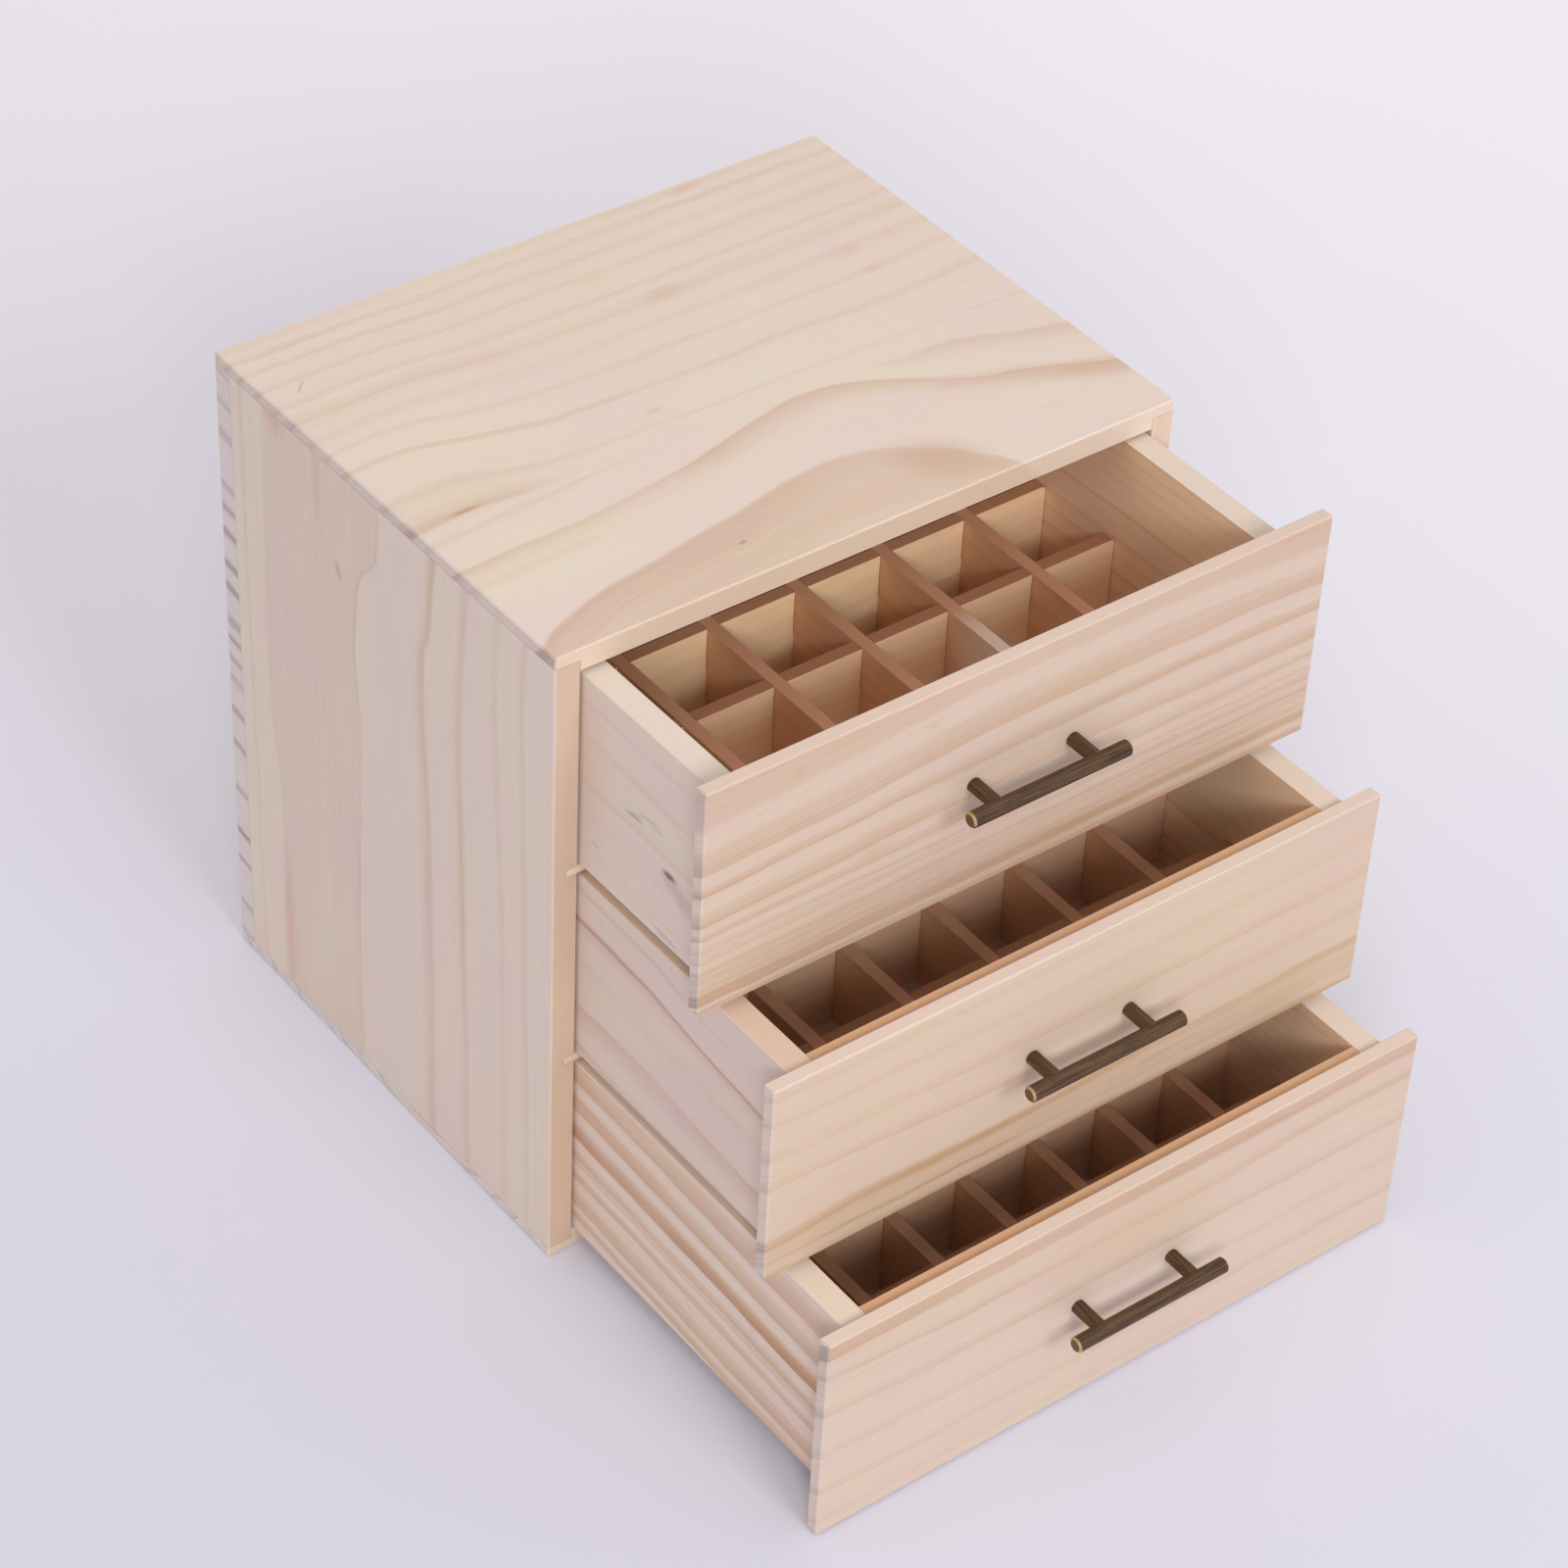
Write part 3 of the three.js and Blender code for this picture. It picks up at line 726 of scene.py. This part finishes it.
FRONT = {
    "grain": X, "across": Z, "slant": 0.65, "edge_cover": 0.75, "ends": ("#E1CEBF", "#8F7A70"),
}
FRONT_TOP = FiguredPine(
    "pine_front_top", tones=("#D8C4B4", "#CEB29B", "#BF9776", "#A47046"), face=-219.6, edge="#E4CDBE",
    seed=23, vigour=((-155, 1.05), (0, 0.95), (155, 1)),
    rings=(
        Ring(((-155, 214), (155, 213)), ((-0.9, 0), (0, 0.62), (1.6, 0.5), (3.4, 0.1))),
        Ring(((-155, 218), (0, 219.5), (155, 221)),
            ((-1.2, 0.1), (0, 0.7), (3.6, 0.66), (5, 0.3), (6.4, 0.16))),
        Ring(((-155, 225), (0, 226), (155, 227)), ((-0.9, 0), (0, 0.4), (4, 0.14))),
        Ring(((-155, 229), (0, 231), (155, 232)), ((-0.9, 0), (0, 0.38), (4.6, 0.12))),
        line(((-155, 233.5), (0, 235), (155, 236)), 0.9, 0.4, 4),
        line(((-155, 239.5), (0, 241), (155, 240.5)), 0.9, 0.4, 4),
        line(((-155, 244), (0, 245.5), (155, 246)), 0.9, 0.3, 3),
        line(((-155, 250.5), (0, 252), (155, 253.5)), 0.9, 0.5, 5),
        Ring(((-155, 257.5), (-100, 259), (-60, 261), (50, 264), (110, 262.5), (155, 262)),
            ((-1, 0), (0, 0.62), (3, 0.42), (9, 0))),
        Ring(((-155, 273), (-100, 275), (-60, 277), (0, 278), (80, 279), (110, 278), (155, 277)),
            ((-1, 0), (0, 0.68), (2.5, 0.4), (6, 0))),
        Ring(((-155, 283), (-100, 285.5), (-60, 288), (-30, 291), (50, 293), (110, 292.5), (155, 290)),
            ((-1, 0), (0, 0.52), (4, 0.44), (9, 0.3), (14, 0))),
        Ring(((-155, 306), (-110, 309), (-60, 313), (-20, 315.5), (50, 316), (90, 315), (120, 312),
            (155, 310)), ((-3, 0), (0, 0.3), (14, 0.42), (20, 0.4))),
    ),
    marks=(
        Mark((-112, 314), (4, 2), "#C9A27C", 0.4), Mark((-48, 293), (3, 2), "#CFA684", 0.35),
        Mark((-48, 307), (3, 2), "#CFA684", 0.3), Mark((-72, 256), (8, 3), "#D2AC88", 0.35),
        Mark((20, 221), (42, 5), "#B98C66", 0.25),
    ),
    **FRONT,
)

FRONT_MIDDLE = FiguredPine(
    "pine_front_middle", tones=("#D9C4B1", "#D1B69B", "#C29B76", "#A87648"), face=-268.6, edge="#E5D0C1",
    seed=31, vigour=((-155, 1), (-20, 1), (60, 0.85), (155, 0.78)),
    rings=(
        Ring(((-155, 112.5), (155, 113.5)), ((-6, 0.8), (-1, 0.75), (1, 0.3), (4, 0.1), (13, 0))),
        Ring(((-155, 119), (155, 120)), ((-1, 0), (0, 0.5), (2, 0)),
            ((-155, 0.6), (-130, 1), (-40, 1), (-20, 0.1), (155, 0.3))),
        Ring(((-155, 123.5), (-50, 124.5), (155, 126)), ((-1, 0), (0, 0.5), (2, 0)),
            ((-155, 0), (25, 0.1), (40, 1), (60, 1), (80, 0.1), (155, 0.3))),
        Ring(((-155, 128), (-100, 132), (-50, 130.5), (0, 131), (30, 133), (60, 132), (155, 134)),
            ((-14, 0.25), (-3, 0.4), (-1.5, 0.85), (1.5, 0.8), (3.5, 0))),
        line(((-155, 160), (-110, 158), (-75, 155), (60, 151), (155, 151)), 1.2, 0.4, 7),
        line(((-155, 175), (-100, 173), (-50, 171), (0, 170), (155, 170.5)), 1.2, 0.38, 7),
        line(((-155, 192.5), (-100, 190), (0, 188), (50, 188), (155, 191)), 1.2, 0.22, 7),
        line(((-155, 206), (0, 204), (155, 206)), 1.2, 0.2, 6),
    ),
    **FRONT,
)

FRONT_BOTTOM = FiguredPine(
    "pine_front_bottom", tones=("#D9C6B7", "#D2B9A5", "#C5A185", "#AC7D58"), face=-310.6, edge="#E5CFBE",
    seed=43, base=((-10, 0), (50, 0), (75, 0.1), (92, 0.2), (111, 0.24)),
    rings=(
        line(((-155, 8), (155, 5)), 1.2, 0.2, 5), line(((-155, 26), (-110, 23), (155, 21)), 1.2, 0.38, 6),
        line(((-155, 46), (-90, 43), (155, 41)), 1.2, 0.3, 6),
        line(((-155, 70), (-125, 68), (-100, 66), (0, 65), (155, 63)), 1.2, 0.5, 7),
        line(((-155, 91), (-120, 88), (-75, 86), (0, 86), (50, 85), (100, 88), (155, 88)), 1.2, 0.5, 6),
        Ring(((-155, 102.5), (155, 102.5)), ((-1.8, 0), (0, 0.66), (3, 0.5), (8, 0.35))),
    ),
    marks=(Mark((0, 84), (44, 15), "#D6B592", 0.4),),
    **FRONT,
)

WALL = {"grain": Y, "across": Z, "face": -142, "slant": 0.8, "edge_cover": 0.9}
WALL_TOP = FiguredPine(
    "pine_wall_top", tones=("#E2D4CA", "#D9C4B7", "#C9A793", "#A87D64"), edge="#E5D5C3", span=(-215, 20),
    seed=53,
    rings=(
        line(((-215, 222), (-125, 225)), 3, 0.15, 4), line(((-215, 240), (-125, 243)), 3, 0.15, 4),
        line(((-215, 256), (-125, 258)), 2, 0.3, 4), line(((-215, 279), (-125, 281)), 2, 0.25, 4),
        line(((-215, 297), (-125, 298)), 2, 0.15, 4),
    ),
    marks=(
        Mark((-184, 247), (7, 4.5), "#B89689", 0.4, 0.3), Mark((-192, 243), (5, 5), "#B9A897", 0.4),
        Mark((-181.5, 250.2), (3.8, 1.5), "#7A4E42", 0.85),
        Mark((-168, 268.5), (7, 0.6), "#9C8D85", 0.45, -0.08),
        Mark((-173, 267), (5, 0.5), "#9C8D85", 0.35, -0.04),
        Mark((-158, 263.8), (5, 0.9), "#8B7C70", 0.55, -0.05),
        Mark((-160, 265.8), (4, 0.5), "#9C8D85", 0.4, -0.1),
        Mark((-133, 231.5), (2.6, 0.7), "#9C8D85", 0.4, 0.1),
        Mark((-180, 218), (8, 1.2), "#AE9E9A", 0.5, 0.1), Mark((-122, 262), (16, 40), "#D8BCAA", 0.4),
    ),
    **WALL,
)

WALL_MIDDLE = FiguredPine(
    "pine_wall_middle", tones=("#DFCFC5", "#D7BFB2", "#C29D89", "#956951"), edge="#DEC1A8",
    span=(-265, 20), seed=61,
    rings=(
        Ring(((-265, 112), (-165, 114), (-125, 118)), ((-4, 0.3), (0, 0.5), (2, 0))),
        Ring(((-265, 132), (-240, 133), (-210, 135), (-190, 138), (-165, 140), (-125, 140.5)),
            ((-13, 0), (-7, 0.35), (-1, 0.62), (1, 0))),
        line(((-265, 155), (-240, 157), (-170, 161), (-125, 163)), 3, 0.22, 3),
        Ring(((-265, 172), (-240, 175), (-210, 178), (-190, 182), (-165, 185), (-125, 187)),
            ((-10, 0), (-4, 0.3), (-1.2, 1), (1, 0))),
        Ring(((-265, 192), (-195, 197), (-175, 201), (-125, 203)), ((-5, 0), (-1, 0.45), (1, 0)),
            ((-265, 0.2), (-210, 0.5), (-185, 1), (20, 1))),
    ),
    **WALL,
)

WALL_BOTTOM = FiguredPine(
    "pine_wall_bottom", tones=("#E4D4C8", "#DABFA9", "#C7A185", "#AA7D5A"), edge="#E4D2BE",
    span=(-310, 20), seed=71,
    rings=tuple(
        Ring(((-310, z), (-120, z + 8)), ((-0.9, 0), (0, dark), (fade * 0.6, dark * 0.65), (fade, 0)))
        for z, dark, fade in (
            (9.2, 0.6, 5.5), (17.2, 0.75, 10), (33.2, 0.6, 5), (42, 0.5, 1.8), (44.6, 0.7, 6),
            (56.2, 1.15, 10), (72.2, 0.75, 11), (88.2, 0.7, 15),
        )
    ),
    **WALL,
)

BACK = FiguredPine(
    "pine_back", X, Z, face=123, slant=-0.15, seed=83, ends=("#E2D6D0", "#80675F"),
    rings=tuple(
        line(((-155, z), (155, z + 3)), wide, dark, wide)
        for z, dark, wide in (
            (8, 0.3, 2), (25, 0.5, 2.5), (50, 0.6, 2.5), (67, 1, 2.5), (92, 0.6, 3), (117, 0.6, 3.5),
            (136, 0.7, 3.5), (154, 0.5, 3.5), (165, 0.6, 3), (176, 0.6, 3), (186, 0.5, 4),
            (204, 1, 3), (216, 1, 3.5), (233, 0.85, 3), (246, 0.75, 3.5), (258, 0.55, 3.5),
            (285, 0.5, 4.5), (301, 0.4, 4), (316, 0.3, 3),
        )
    ),
)

INNER = ("#F4D5B5", "#EEC7A3", "#E2AC85", "#C68B5F")
SIDE_RIGHT = SawnPine(
    "pine_case_side_right", Z, Y, face=155, seed=5, pith=(18, 55), taper=0.05, pitch=9, tone=0.62
)
BASE_BOARD = SawnPine(
    "pine_base", X, Y, ends=("#E2D7D2", "#A89388"), seed=9, pith=(-30, 80), pitch=9
)
INNER_FRONT = SawnPine(
    "pine_inner_front", X, Z, tones=("#EACDAB", "#DFB995", "#CFA078", "#BC8F6B"), edge="#D0A27C",
    edge_cover=0.9, seed=15, pith=(120, -240), taper=0.02, pitch=7, tone=0.5,
)
REAR_WALL = SawnPine(
    "pine_rear_wall", X, Z, tones=INNER, seed=19, pith=(60, 30), taper=0.02, pitch=8, tone=0.5
)
WALL_RIGHT = SawnPine(
    "pine_wall_right", Y, Z, tones=INNER, outer=("#E2D4CA", "#D9C4B7", "#B08C78"), edge="#E3D0BE",
    edge_cover=1, seed=27, pith=(190, 60), taper=0.015, pitch=5.5, tone=0.7,
)

SLAT = {"across": Z, "ends": ("#D6AC84", "#A67850"), "edge_cover": 1}
LENGTHWISE = {
    "grain": Y, "edge": "#D29A77", "tones": ("#DEB28C", "#DAA57D", "#CF8E63", "#B47046"), **SLAT,
}
SLAT_LONG_A = SawnPine("pine_slat_long_a", seed=33, pith=(260, 15), pitch=6, **LENGTHWISE)
SLAT_LONG_B = SawnPine(
    "pine_slat_long_b", seed=37, pith=(150, -60), taper=-0.04, pitch=7, tone=0.5, **LENGTHWISE
)
# A copy of SLAT_LONG_B with a painted pool of light on the front part of one slat's face.
SLAT_LONG_PAINTED_LIGHT = replace(
    SLAT_LONG_B, name="pine_slat_long_painted_light", marks=(Mark((-149, 246), (21, 30), "#F8E4D0", 0.85),)
)
# A lighter copy of the slat pine: painted light on slat faces in shade behind the drawer front.
SLAT_CROSS_FORE_PAINTED_LIGHT = SawnPine(
    "pine_slat_cross_fore_painted_light", X, seed=41, pith=(200, -120), pitch=6.5, tone=0.4, edge="#B27B5A",
    tones=("#FFE3C2", "#FBD4AE", "#F2BB90", "#D69465"), **SLAT,
)
# A darker copy of the same pine: painted shade on the slat faces lit straight by the lamps.
SLAT_CROSS_REAR_PAINTED_SHADE = SawnPine(
    "pine_slat_cross_rear_painted_shade", X, seed=47, pith=(80, -200), taper=-0.03, tone=0.5, edge="#BD8765",
    tones=("#F6D9B1", "#F1C9A0", "#E7AE82", "#CA8858"), **SLAT,
)
# A darker copy of the slat pine: painted shade in the lower drawers, under the drawer above.
SLAT_CROSS_LOW_PAINTED_SHADE = SawnPine(
    "pine_slat_cross_low_painted_shade", X, seed=51, pith=(120, -160), pitch=7, tone=0.5, edge="#B27B5A",
    tones=("#DFBA9C", "#DCAE8C", "#D39974", "#BA7A50"), **SLAT,
)


@dataclass
class Case:
    """The carcass: lid, base, sides, back and two shelves of the CAD frame."""

    lid: Pine = LID
    side_left: Pine = SIDE_LEFT
    side_right: Pine = SIDE_RIGHT
    base: Pine = BASE_BOARD
    back: Pine = BACK

    def dress(self, ply: Material) -> None:
        """Give each board of the carcass its own wood.

        Args:
            ply: the plywood of the shelves.
        """
        boards = {
            "top": self.lid, "side_left": self.side_left, "side_right": self.side_right,
            "bottom": self.base, "back": self.back,
        }
        for name, board in boards.items():
            dress(f"case_{name}", board.material())
        for shelf in ("shelf_upper", "shelf_lower"):
            dress(shelf, ply)


def lathe(
    profile: list[Pair], start: Triple, axis: Triple, sides: int, sink: np.ndarray | None = None
) -> Shell:
    """Turn a profile round an axis.

    Point (i, j) is start + axis * (along_i - sink_ij) + radius_i * (cos a_j * p + sin a_j * q),
    with p and q square to the axis. The first and last profile points are poles of radius zero,
    one vertex each, so that the shell is closed.

    Args:
        profile: (along, radius) rows, from one pole to the other.
        start: the axis's zero point.
        axis: unit vector of the axis.
        sides: vertices round it.
        sink: how far each turned vertex drops along the axis, by profile row and side.

    Returns:
        The vertices and the faces, which look outwards when along rises from the first pole.
    """
    shape, zero, axle = np.array(profile), np.array(start), np.array(axis)
    helper = np.array([0.0, 0.0, 1.0]) if abs(axle[2]) < 0.9 else np.array([1.0, 0.0, 0.0])
    p = np.cross(helper, axle)
    p /= np.linalg.norm(p)
    q = np.cross(axle, p)
    turns = np.linspace(0.0, 2.0 * np.pi, sides, endpoint=False)
    along, radius = shape[1:-1, 0], shape[1:-1, 1]
    rows = len(along)
    drop = np.zeros((rows, sides)) if sink is None else sink
    circle = np.cos(turns)[:, None] * p + np.sin(turns)[:, None] * q
    body = zero + (along[:, None] - drop)[..., None] * axle + radius[:, None, None] * circle[None]
    poles = zero + shape[[0, -1], 0][:, None] * axle
    if sink is not None:
        poles[0] -= axle * sink[0, 0]
    vertices = np.vstack([body.reshape(-1, 3), poles])
    here = np.arange(rows * sides).reshape(rows, sides)
    beside = np.roll(here, -1, axis=1)
    quads = np.stack([here[:-1], beside[:-1], beside[1:], here[1:]], -1).reshape(-1, 4)
    first, last = rows * sides, rows * sides + 1
    near = np.stack([np.full(sides, first), beside[0], here[0]], -1)
    far = np.stack([np.full(sides, last), here[-1], beside[-1]], -1)
    return vertices, [tuple(f) for f in quads.tolist() + near.tolist() + far.tolist()]


@dataclass
class Pull:
    """A T-bar pull in antique bronze, screwed on from inside the drawer. Sizes in mm.

    drawer: top, middle or bottom, which is also the body that it rides on.
    reach: from the drawer's front to the bar's centre; inset: from it to the screw heads.
    recess: the cross recess's depth; arm and span: half the width and half the length of its
    arms at the head's face, each with the distance over which the recess reaches its depth.
    sides: how many the bar, a post and a screw have; crease: the sharp edges' angle in degrees.
    """

    drawer: str
    length: float = 80.0
    diameter: float = 7.0
    chamfer: float = 0.8
    reach: float = 16.5
    post_spacing: float = 50.0
    post_diameter: float = 6.4
    post_ease: float = 0.35
    screw_diameter: float = 4.0
    head_diameter: float = 8.0
    head_rim: float = 0.15
    head_land: float = 0.6
    head_depth: float = 2.6
    inset: float = 13.2
    bite: float = 1.0
    recess: float = 1.3
    arm: Pair = (0.7, 0.3)
    span: Pair = (2.1, 0.4)
    sides: tuple[int, int, int] = (64, 40, 48)
    crease: float = 32.0

    def build(self, finishes: tuple[Material, Material]) -> None:
        """Build the pull in place of its CAD node.

        Args:
            finishes: bronze brushed along the bar, and along the posts and screws.
        """
        low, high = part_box(f"drawer_{self.drawer}_front")
        face = low.y / MM
        height = (low.z + high.z) / 2.0 / MM
        centre = (low.x + high.x) / 2.0 / MM
        shells = [self._bar(centre, face, height)]
        for side in (-0.5, 0.5):
            x = centre + side * self.post_spacing
            shells.append(self._post(x, face, height))
            shells.append(self._screw(x, face, height))
        points, faces, bronze = [], [], []
        for number, (vertices, polygons) in enumerate(shells):
            base = sum(len(block) for block in points)
            points.append(vertices)
            faces += [tuple(corner + base for corner in polygon) for polygon in polygons]
            bronze += [min(number, 1)] * len(polygons)
        mesh = bpy.data.meshes.new(f"pull_{self.drawer}_bronze")
        mesh.from_pydata((np.vstack(points) * MM).tolist(), [], faces)
        for finish in finishes:
            mesh.materials.append(finish)
        mesh.polygons.foreach_set("material_index", np.array(bronze, dtype=np.int32))
        mesh.shade_smooth()
        mesh.set_sharp_from_angle(angle=np.radians(self.crease))
        mesh.validate()
        piece = put(f"pull_{self.drawer}_bronze", mesh)
        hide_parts(f"drawer_{self.drawer}_pull")
        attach(piece, f"drawer_{self.drawer}")
        LOG.info("pull_%s_bronze: bar, two posts and two screws", self.drawer)

    def _bar(self, x: float, face: float, z: float) -> Shell:
        """Turn the bar: a round rod with bevelled ends."""
        half, radius, cut = self.length / 2.0, self.diameter / 2.0, self.chamfer
        profile = [
            (-half, 0.0), (-half, radius - cut), (-half + cut, radius),
            (half - cut, radius), (half, radius - cut), (half, 0.0),
        ]
        return lathe(profile, (x, face - self.reach, z), (1.0, 0.0, 0.0), self.sides[0])

    def _post(self, x: float, face: float, z: float) -> Shell:
        """Turn a post: a plain round from the drawer front into the bar, eased at the wood."""
        radius, ease, end = self.post_diameter / 2.0, self.post_ease, self.reach
        profile = [(0.0, 0.0), (0.0, radius - ease), (ease, radius), (end, radius), (end, 0.0)]
        return lathe(profile, (x, face, z), (0.0, -1.0, 0.0), self.sides[1])

    def _screw(self, x: float, face: float, z: float) -> Shell:
        """Turn a countersunk screw, with a cross recess pressed into its head.

        The recess is a function of the place on the head: its depth falls off near the edges of
        a cross of two arms.
        """
        head, shank, end = self.head_diameter / 2.0, self.screw_diameter / 2.0, self.inset - self.bite
        rings = np.linspace(0.05, 1.0, 16) * (head - self.head_rim)
        profile = [(0.0, 0.0)] + [(0.0, r) for r in rings]
        profile += [
            (self.head_rim, head), (self.head_land, head), (self.head_depth, shank),
            (end, shank), (end, 0.0),
        ]
        along, radius = np.array(profile[1:-1]).T[..., None]
        turns = np.linspace(0.0, 2.0 * np.pi, self.sides[2], endpoint=False)
        across, up = np.abs(radius * np.cos(turns)), np.abs(radius * np.sin(turns))
        (wide, fall), (long, drop) = self.arm, self.span
        arms = np.clip((wide - np.minimum(across, up)) / fall, 0.0, 1.0)
        arms *= np.clip((long - np.maximum(across, up)) / drop, 0.0, 1.0)
        sink = -self.recess * arms * (along == 0.0)
        return lathe(profile, (x, face + self.inset, z), (0.0, -1.0, 0.0), self.sides[2], sink)


@dataclass
class Drawer:
    """One drawer of the CAD frame: overlay front, box, panel and its grid of slats.

    name: top, middle or bottom; lengthwise and crosswise: how many slats run each way; cross: the
    crosswise slats' finishes by turns, copies of one pine with painted light and shade; pale: the
    lengthwise slat with a painted pool of light, or 0; panel: the finish of the panel.
    """

    name: str
    front: Pine
    wall: Pine
    lengthwise: int
    crosswise: int
    cross: tuple[str, str] = ("cross_low_painted_shade", "cross_low_painted_shade")
    pale: int = 0
    panel: str = "ply_low_painted_shade"

    def dress(self, shared: dict[str, Material]) -> None:
        """Give each board of the drawer its wood.

        Args:
            shared: the materials that all drawers have in common, by name.
        """
        body = f"drawer_{self.name}"
        dress(f"{body}_front", self.front.material())
        dress(f"{body}_wall_left", self.wall.material())
        for board in ("wall_right", "inner_front", "rear_wall"):
            dress(f"{body}_{board}", shared[board])
        dress(f"{body}_panel", shared[self.panel])
        for number in range(1, self.lengthwise + 1):
            # The slat numbered pale gets the copy with the painted pool of light.
            wood = "long_painted_light" if number == self.pale else f"long_{number % 2}"
            dress(f"{body}_slat_lengthwise_{number}", shared[wood])
        for number in range(1, self.crosswise + 1):
            dress(f"{body}_slat_crosswise_{number}", shared[self.cross[number % 2]])


@dataclass(frozen=True)
class SoftBox:
    """A rectangular soft box that looks at the product.

    place: its centre in metres; size: its width and height; power: watts; colour: sRGB hex;
    aim: the point that it looks at, low on the fronts.
    """

    name: str
    place: Triple
    size: Pair
    power: float
    colour: str
    aim: Triple = (0.0, -0.1, 0.15)

    def hang(self) -> None:
        """Hang the lamp, turned to its aim."""
        lamp = bpy.data.lights.new(self.name, "AREA")
        lamp.shape = "RECTANGLE"
        lamp.size, lamp.size_y = self.size
        lamp.energy = self.power
        lamp.color = linear(self.colour)[:3]
        box = put(self.name, lamp)
        box.location = self.place
        towards = np.array(self.aim) - np.array(self.place)
        flat = float(np.hypot(towards[0], towards[1]))
        tilt = float(np.arctan2(flat, -towards[2]))
        swing = float(np.arctan2(-towards[0], towards[1]))
        box.rotation_euler = Euler((tilt, 0.0, swing), "XYZ")
        LOG.info("%s: %.1f W", self.name, self.power)


@dataclass
class Studio:
    """Floor, soft light and camera. Lengths in metres.

    floor_size and floor_cells: the floor's side, and how many cells it has each way; drop: how
    far it is under the case; lamps: the soft boxes; sky: strength of the light overhead, which
    falls off towards the horizon; eye, turn and lens: where the camera is, its Euler angles in
    degrees and its focal length in mm on a 36 mm sensor.
    """

    floor_size: float = 8.0
    floor_cells: int = 8
    drop: float = 0.0002
    lamps: tuple[SoftBox, ...] = (
        SoftBox("front_box", (-0.2, -4.2, 3.0), (1.7, 1.45), 73.0, "#F0F9FF"),
        SoftBox("left_box", (-2.4, -3.44, 2.35), (1.2, 1.0), 64.0, "#FAFBFF"),
    )
    sky: float = 0.91
    eye: Triple = (-0.90689, -1.19225, 1.35476)
    turn: Triple = (50.15524, -2.43876, -36.97511)
    lens: float = 101.122

    def build(self) -> None:
        """Make the floor, the lamps, the sky and the camera."""
        self._floor()
        self._light()
        self._camera()

    def _floor(self) -> None:
        """Lay the floor: a flat grid just under the case's base."""
        half, count = self.floor_size / 2.0, self.floor_cells + 1
        steps = np.linspace(-half, half, count)
        across, along = np.meshgrid(steps, steps)
        points = np.stack([across, along, np.full_like(across, -self.drop)], -1).reshape(-1, 3)
        here = np.arange(count * count).reshape(count, count)
        corners = [here[:-1, :-1], here[:-1, 1:], here[1:, 1:], here[1:, :-1]]
        mesh = bpy.data.meshes.new("studio_floor")
        mesh.from_pydata(points.tolist(), [], np.stack(corners, -1).reshape(-1, 4).tolist())
        mesh.materials.append(StudioFloor().material())
        floor = put("studio_floor", mesh)
        LOG.info("studio_floor: %.1f m square", self.floor_size)

    def _light(self) -> None:
        """Hang the soft boxes and set the sky."""
        for lamp in self.lamps:
            lamp.hang()
        world = bpy.data.worlds.new("studio_sky")
        world.use_nodes = True
        world.node_tree.nodes.clear()
        add = partial(add_node, world.node_tree)
        towards = add("TexCoord", pick="Generated")
        rise = add("SeparateXYZ", towards).node.outputs["Z"]
        glow = add("ValToRGB", rise, stops=((0.0, "#9F9A9B"), (1.0, "#FFFCFC")))
        sky = add("Background", glow, self.sky)
        add("OutputWorld", sky)
        bpy.context.scene.world = world
        LOG.info("studio_sky: %.2f", self.sky)

    def _camera(self) -> None:
        """Set the camera at the photograph's viewing angle."""
        data = bpy.data.cameras.new("camera")
        data.sensor_width = 36.0
        data.lens = self.lens
        data.clip_start, data.clip_end = 0.05, 50.0
        data.dof.use_dof = False
        camera = put("camera", data)
        camera.location = self.eye
        camera.rotation_euler = Euler(tuple(np.radians(self.turn)), "XYZ")
        bpy.context.scene.camera = camera
        LOG.info("camera: %.1f mm lens", self.lens)


def main() -> None:
    """Dress the case and drawers, build the pulls and set the studio."""
    logging.basicConfig(level=logging.INFO, format="%(name)s %(message)s")
    bpy.context.scene.view_settings.view_transform = "Standard"
    woods = {
        "ply": Plywood(),
        # A darker copy of the plywood: painted shade in the lower drawers, under the drawer above.
        "ply_low_painted_shade": Plywood("pine_plywood_low_painted_shade", "#D2B698", "#B5906F"),
        "wall_right": WALL_RIGHT,
        "inner_front": INNER_FRONT,
        "rear_wall": REAR_WALL,
        "long_0": SLAT_LONG_A,
        "long_1": SLAT_LONG_B,
        "long_painted_light": SLAT_LONG_PAINTED_LIGHT,
        "cross_fore_painted_light": SLAT_CROSS_FORE_PAINTED_LIGHT,
        "cross_rear_painted_shade": SLAT_CROSS_REAR_PAINTED_SHADE,
        "cross_low_painted_shade": SLAT_CROSS_LOW_PAINTED_SHADE,
    }
    shared = {name: wood.material() for name, wood in woods.items()}
    Case().dress(shared["ply"])
    Drawer("top", FRONT_TOP, WALL_TOP, 5, 4, ("cross_fore_painted_light", "cross_rear_painted_shade"), 4, "ply").dress(shared)
    Drawer("middle", FRONT_MIDDLE, WALL_MIDDLE, 5, 4).dress(shared)
    Drawer("bottom", FRONT_BOTTOM, WALL_BOTTOM, 6, 5).dress(shared)
    # The bar has brass near its ends, part wear and part painted highlight; the posts and screws have
    # none.
    bronze = (
        AntiqueBronze("antique_bronze_bar", X, 39.2).material(),
        AntiqueBronze("antique_bronze_post", Y, 900.0).material(),
    )
    for name in ("top", "middle", "bottom"):
        Pull(name).build(bronze)
    Studio().build()


if __name__ == "__main__":
    main()
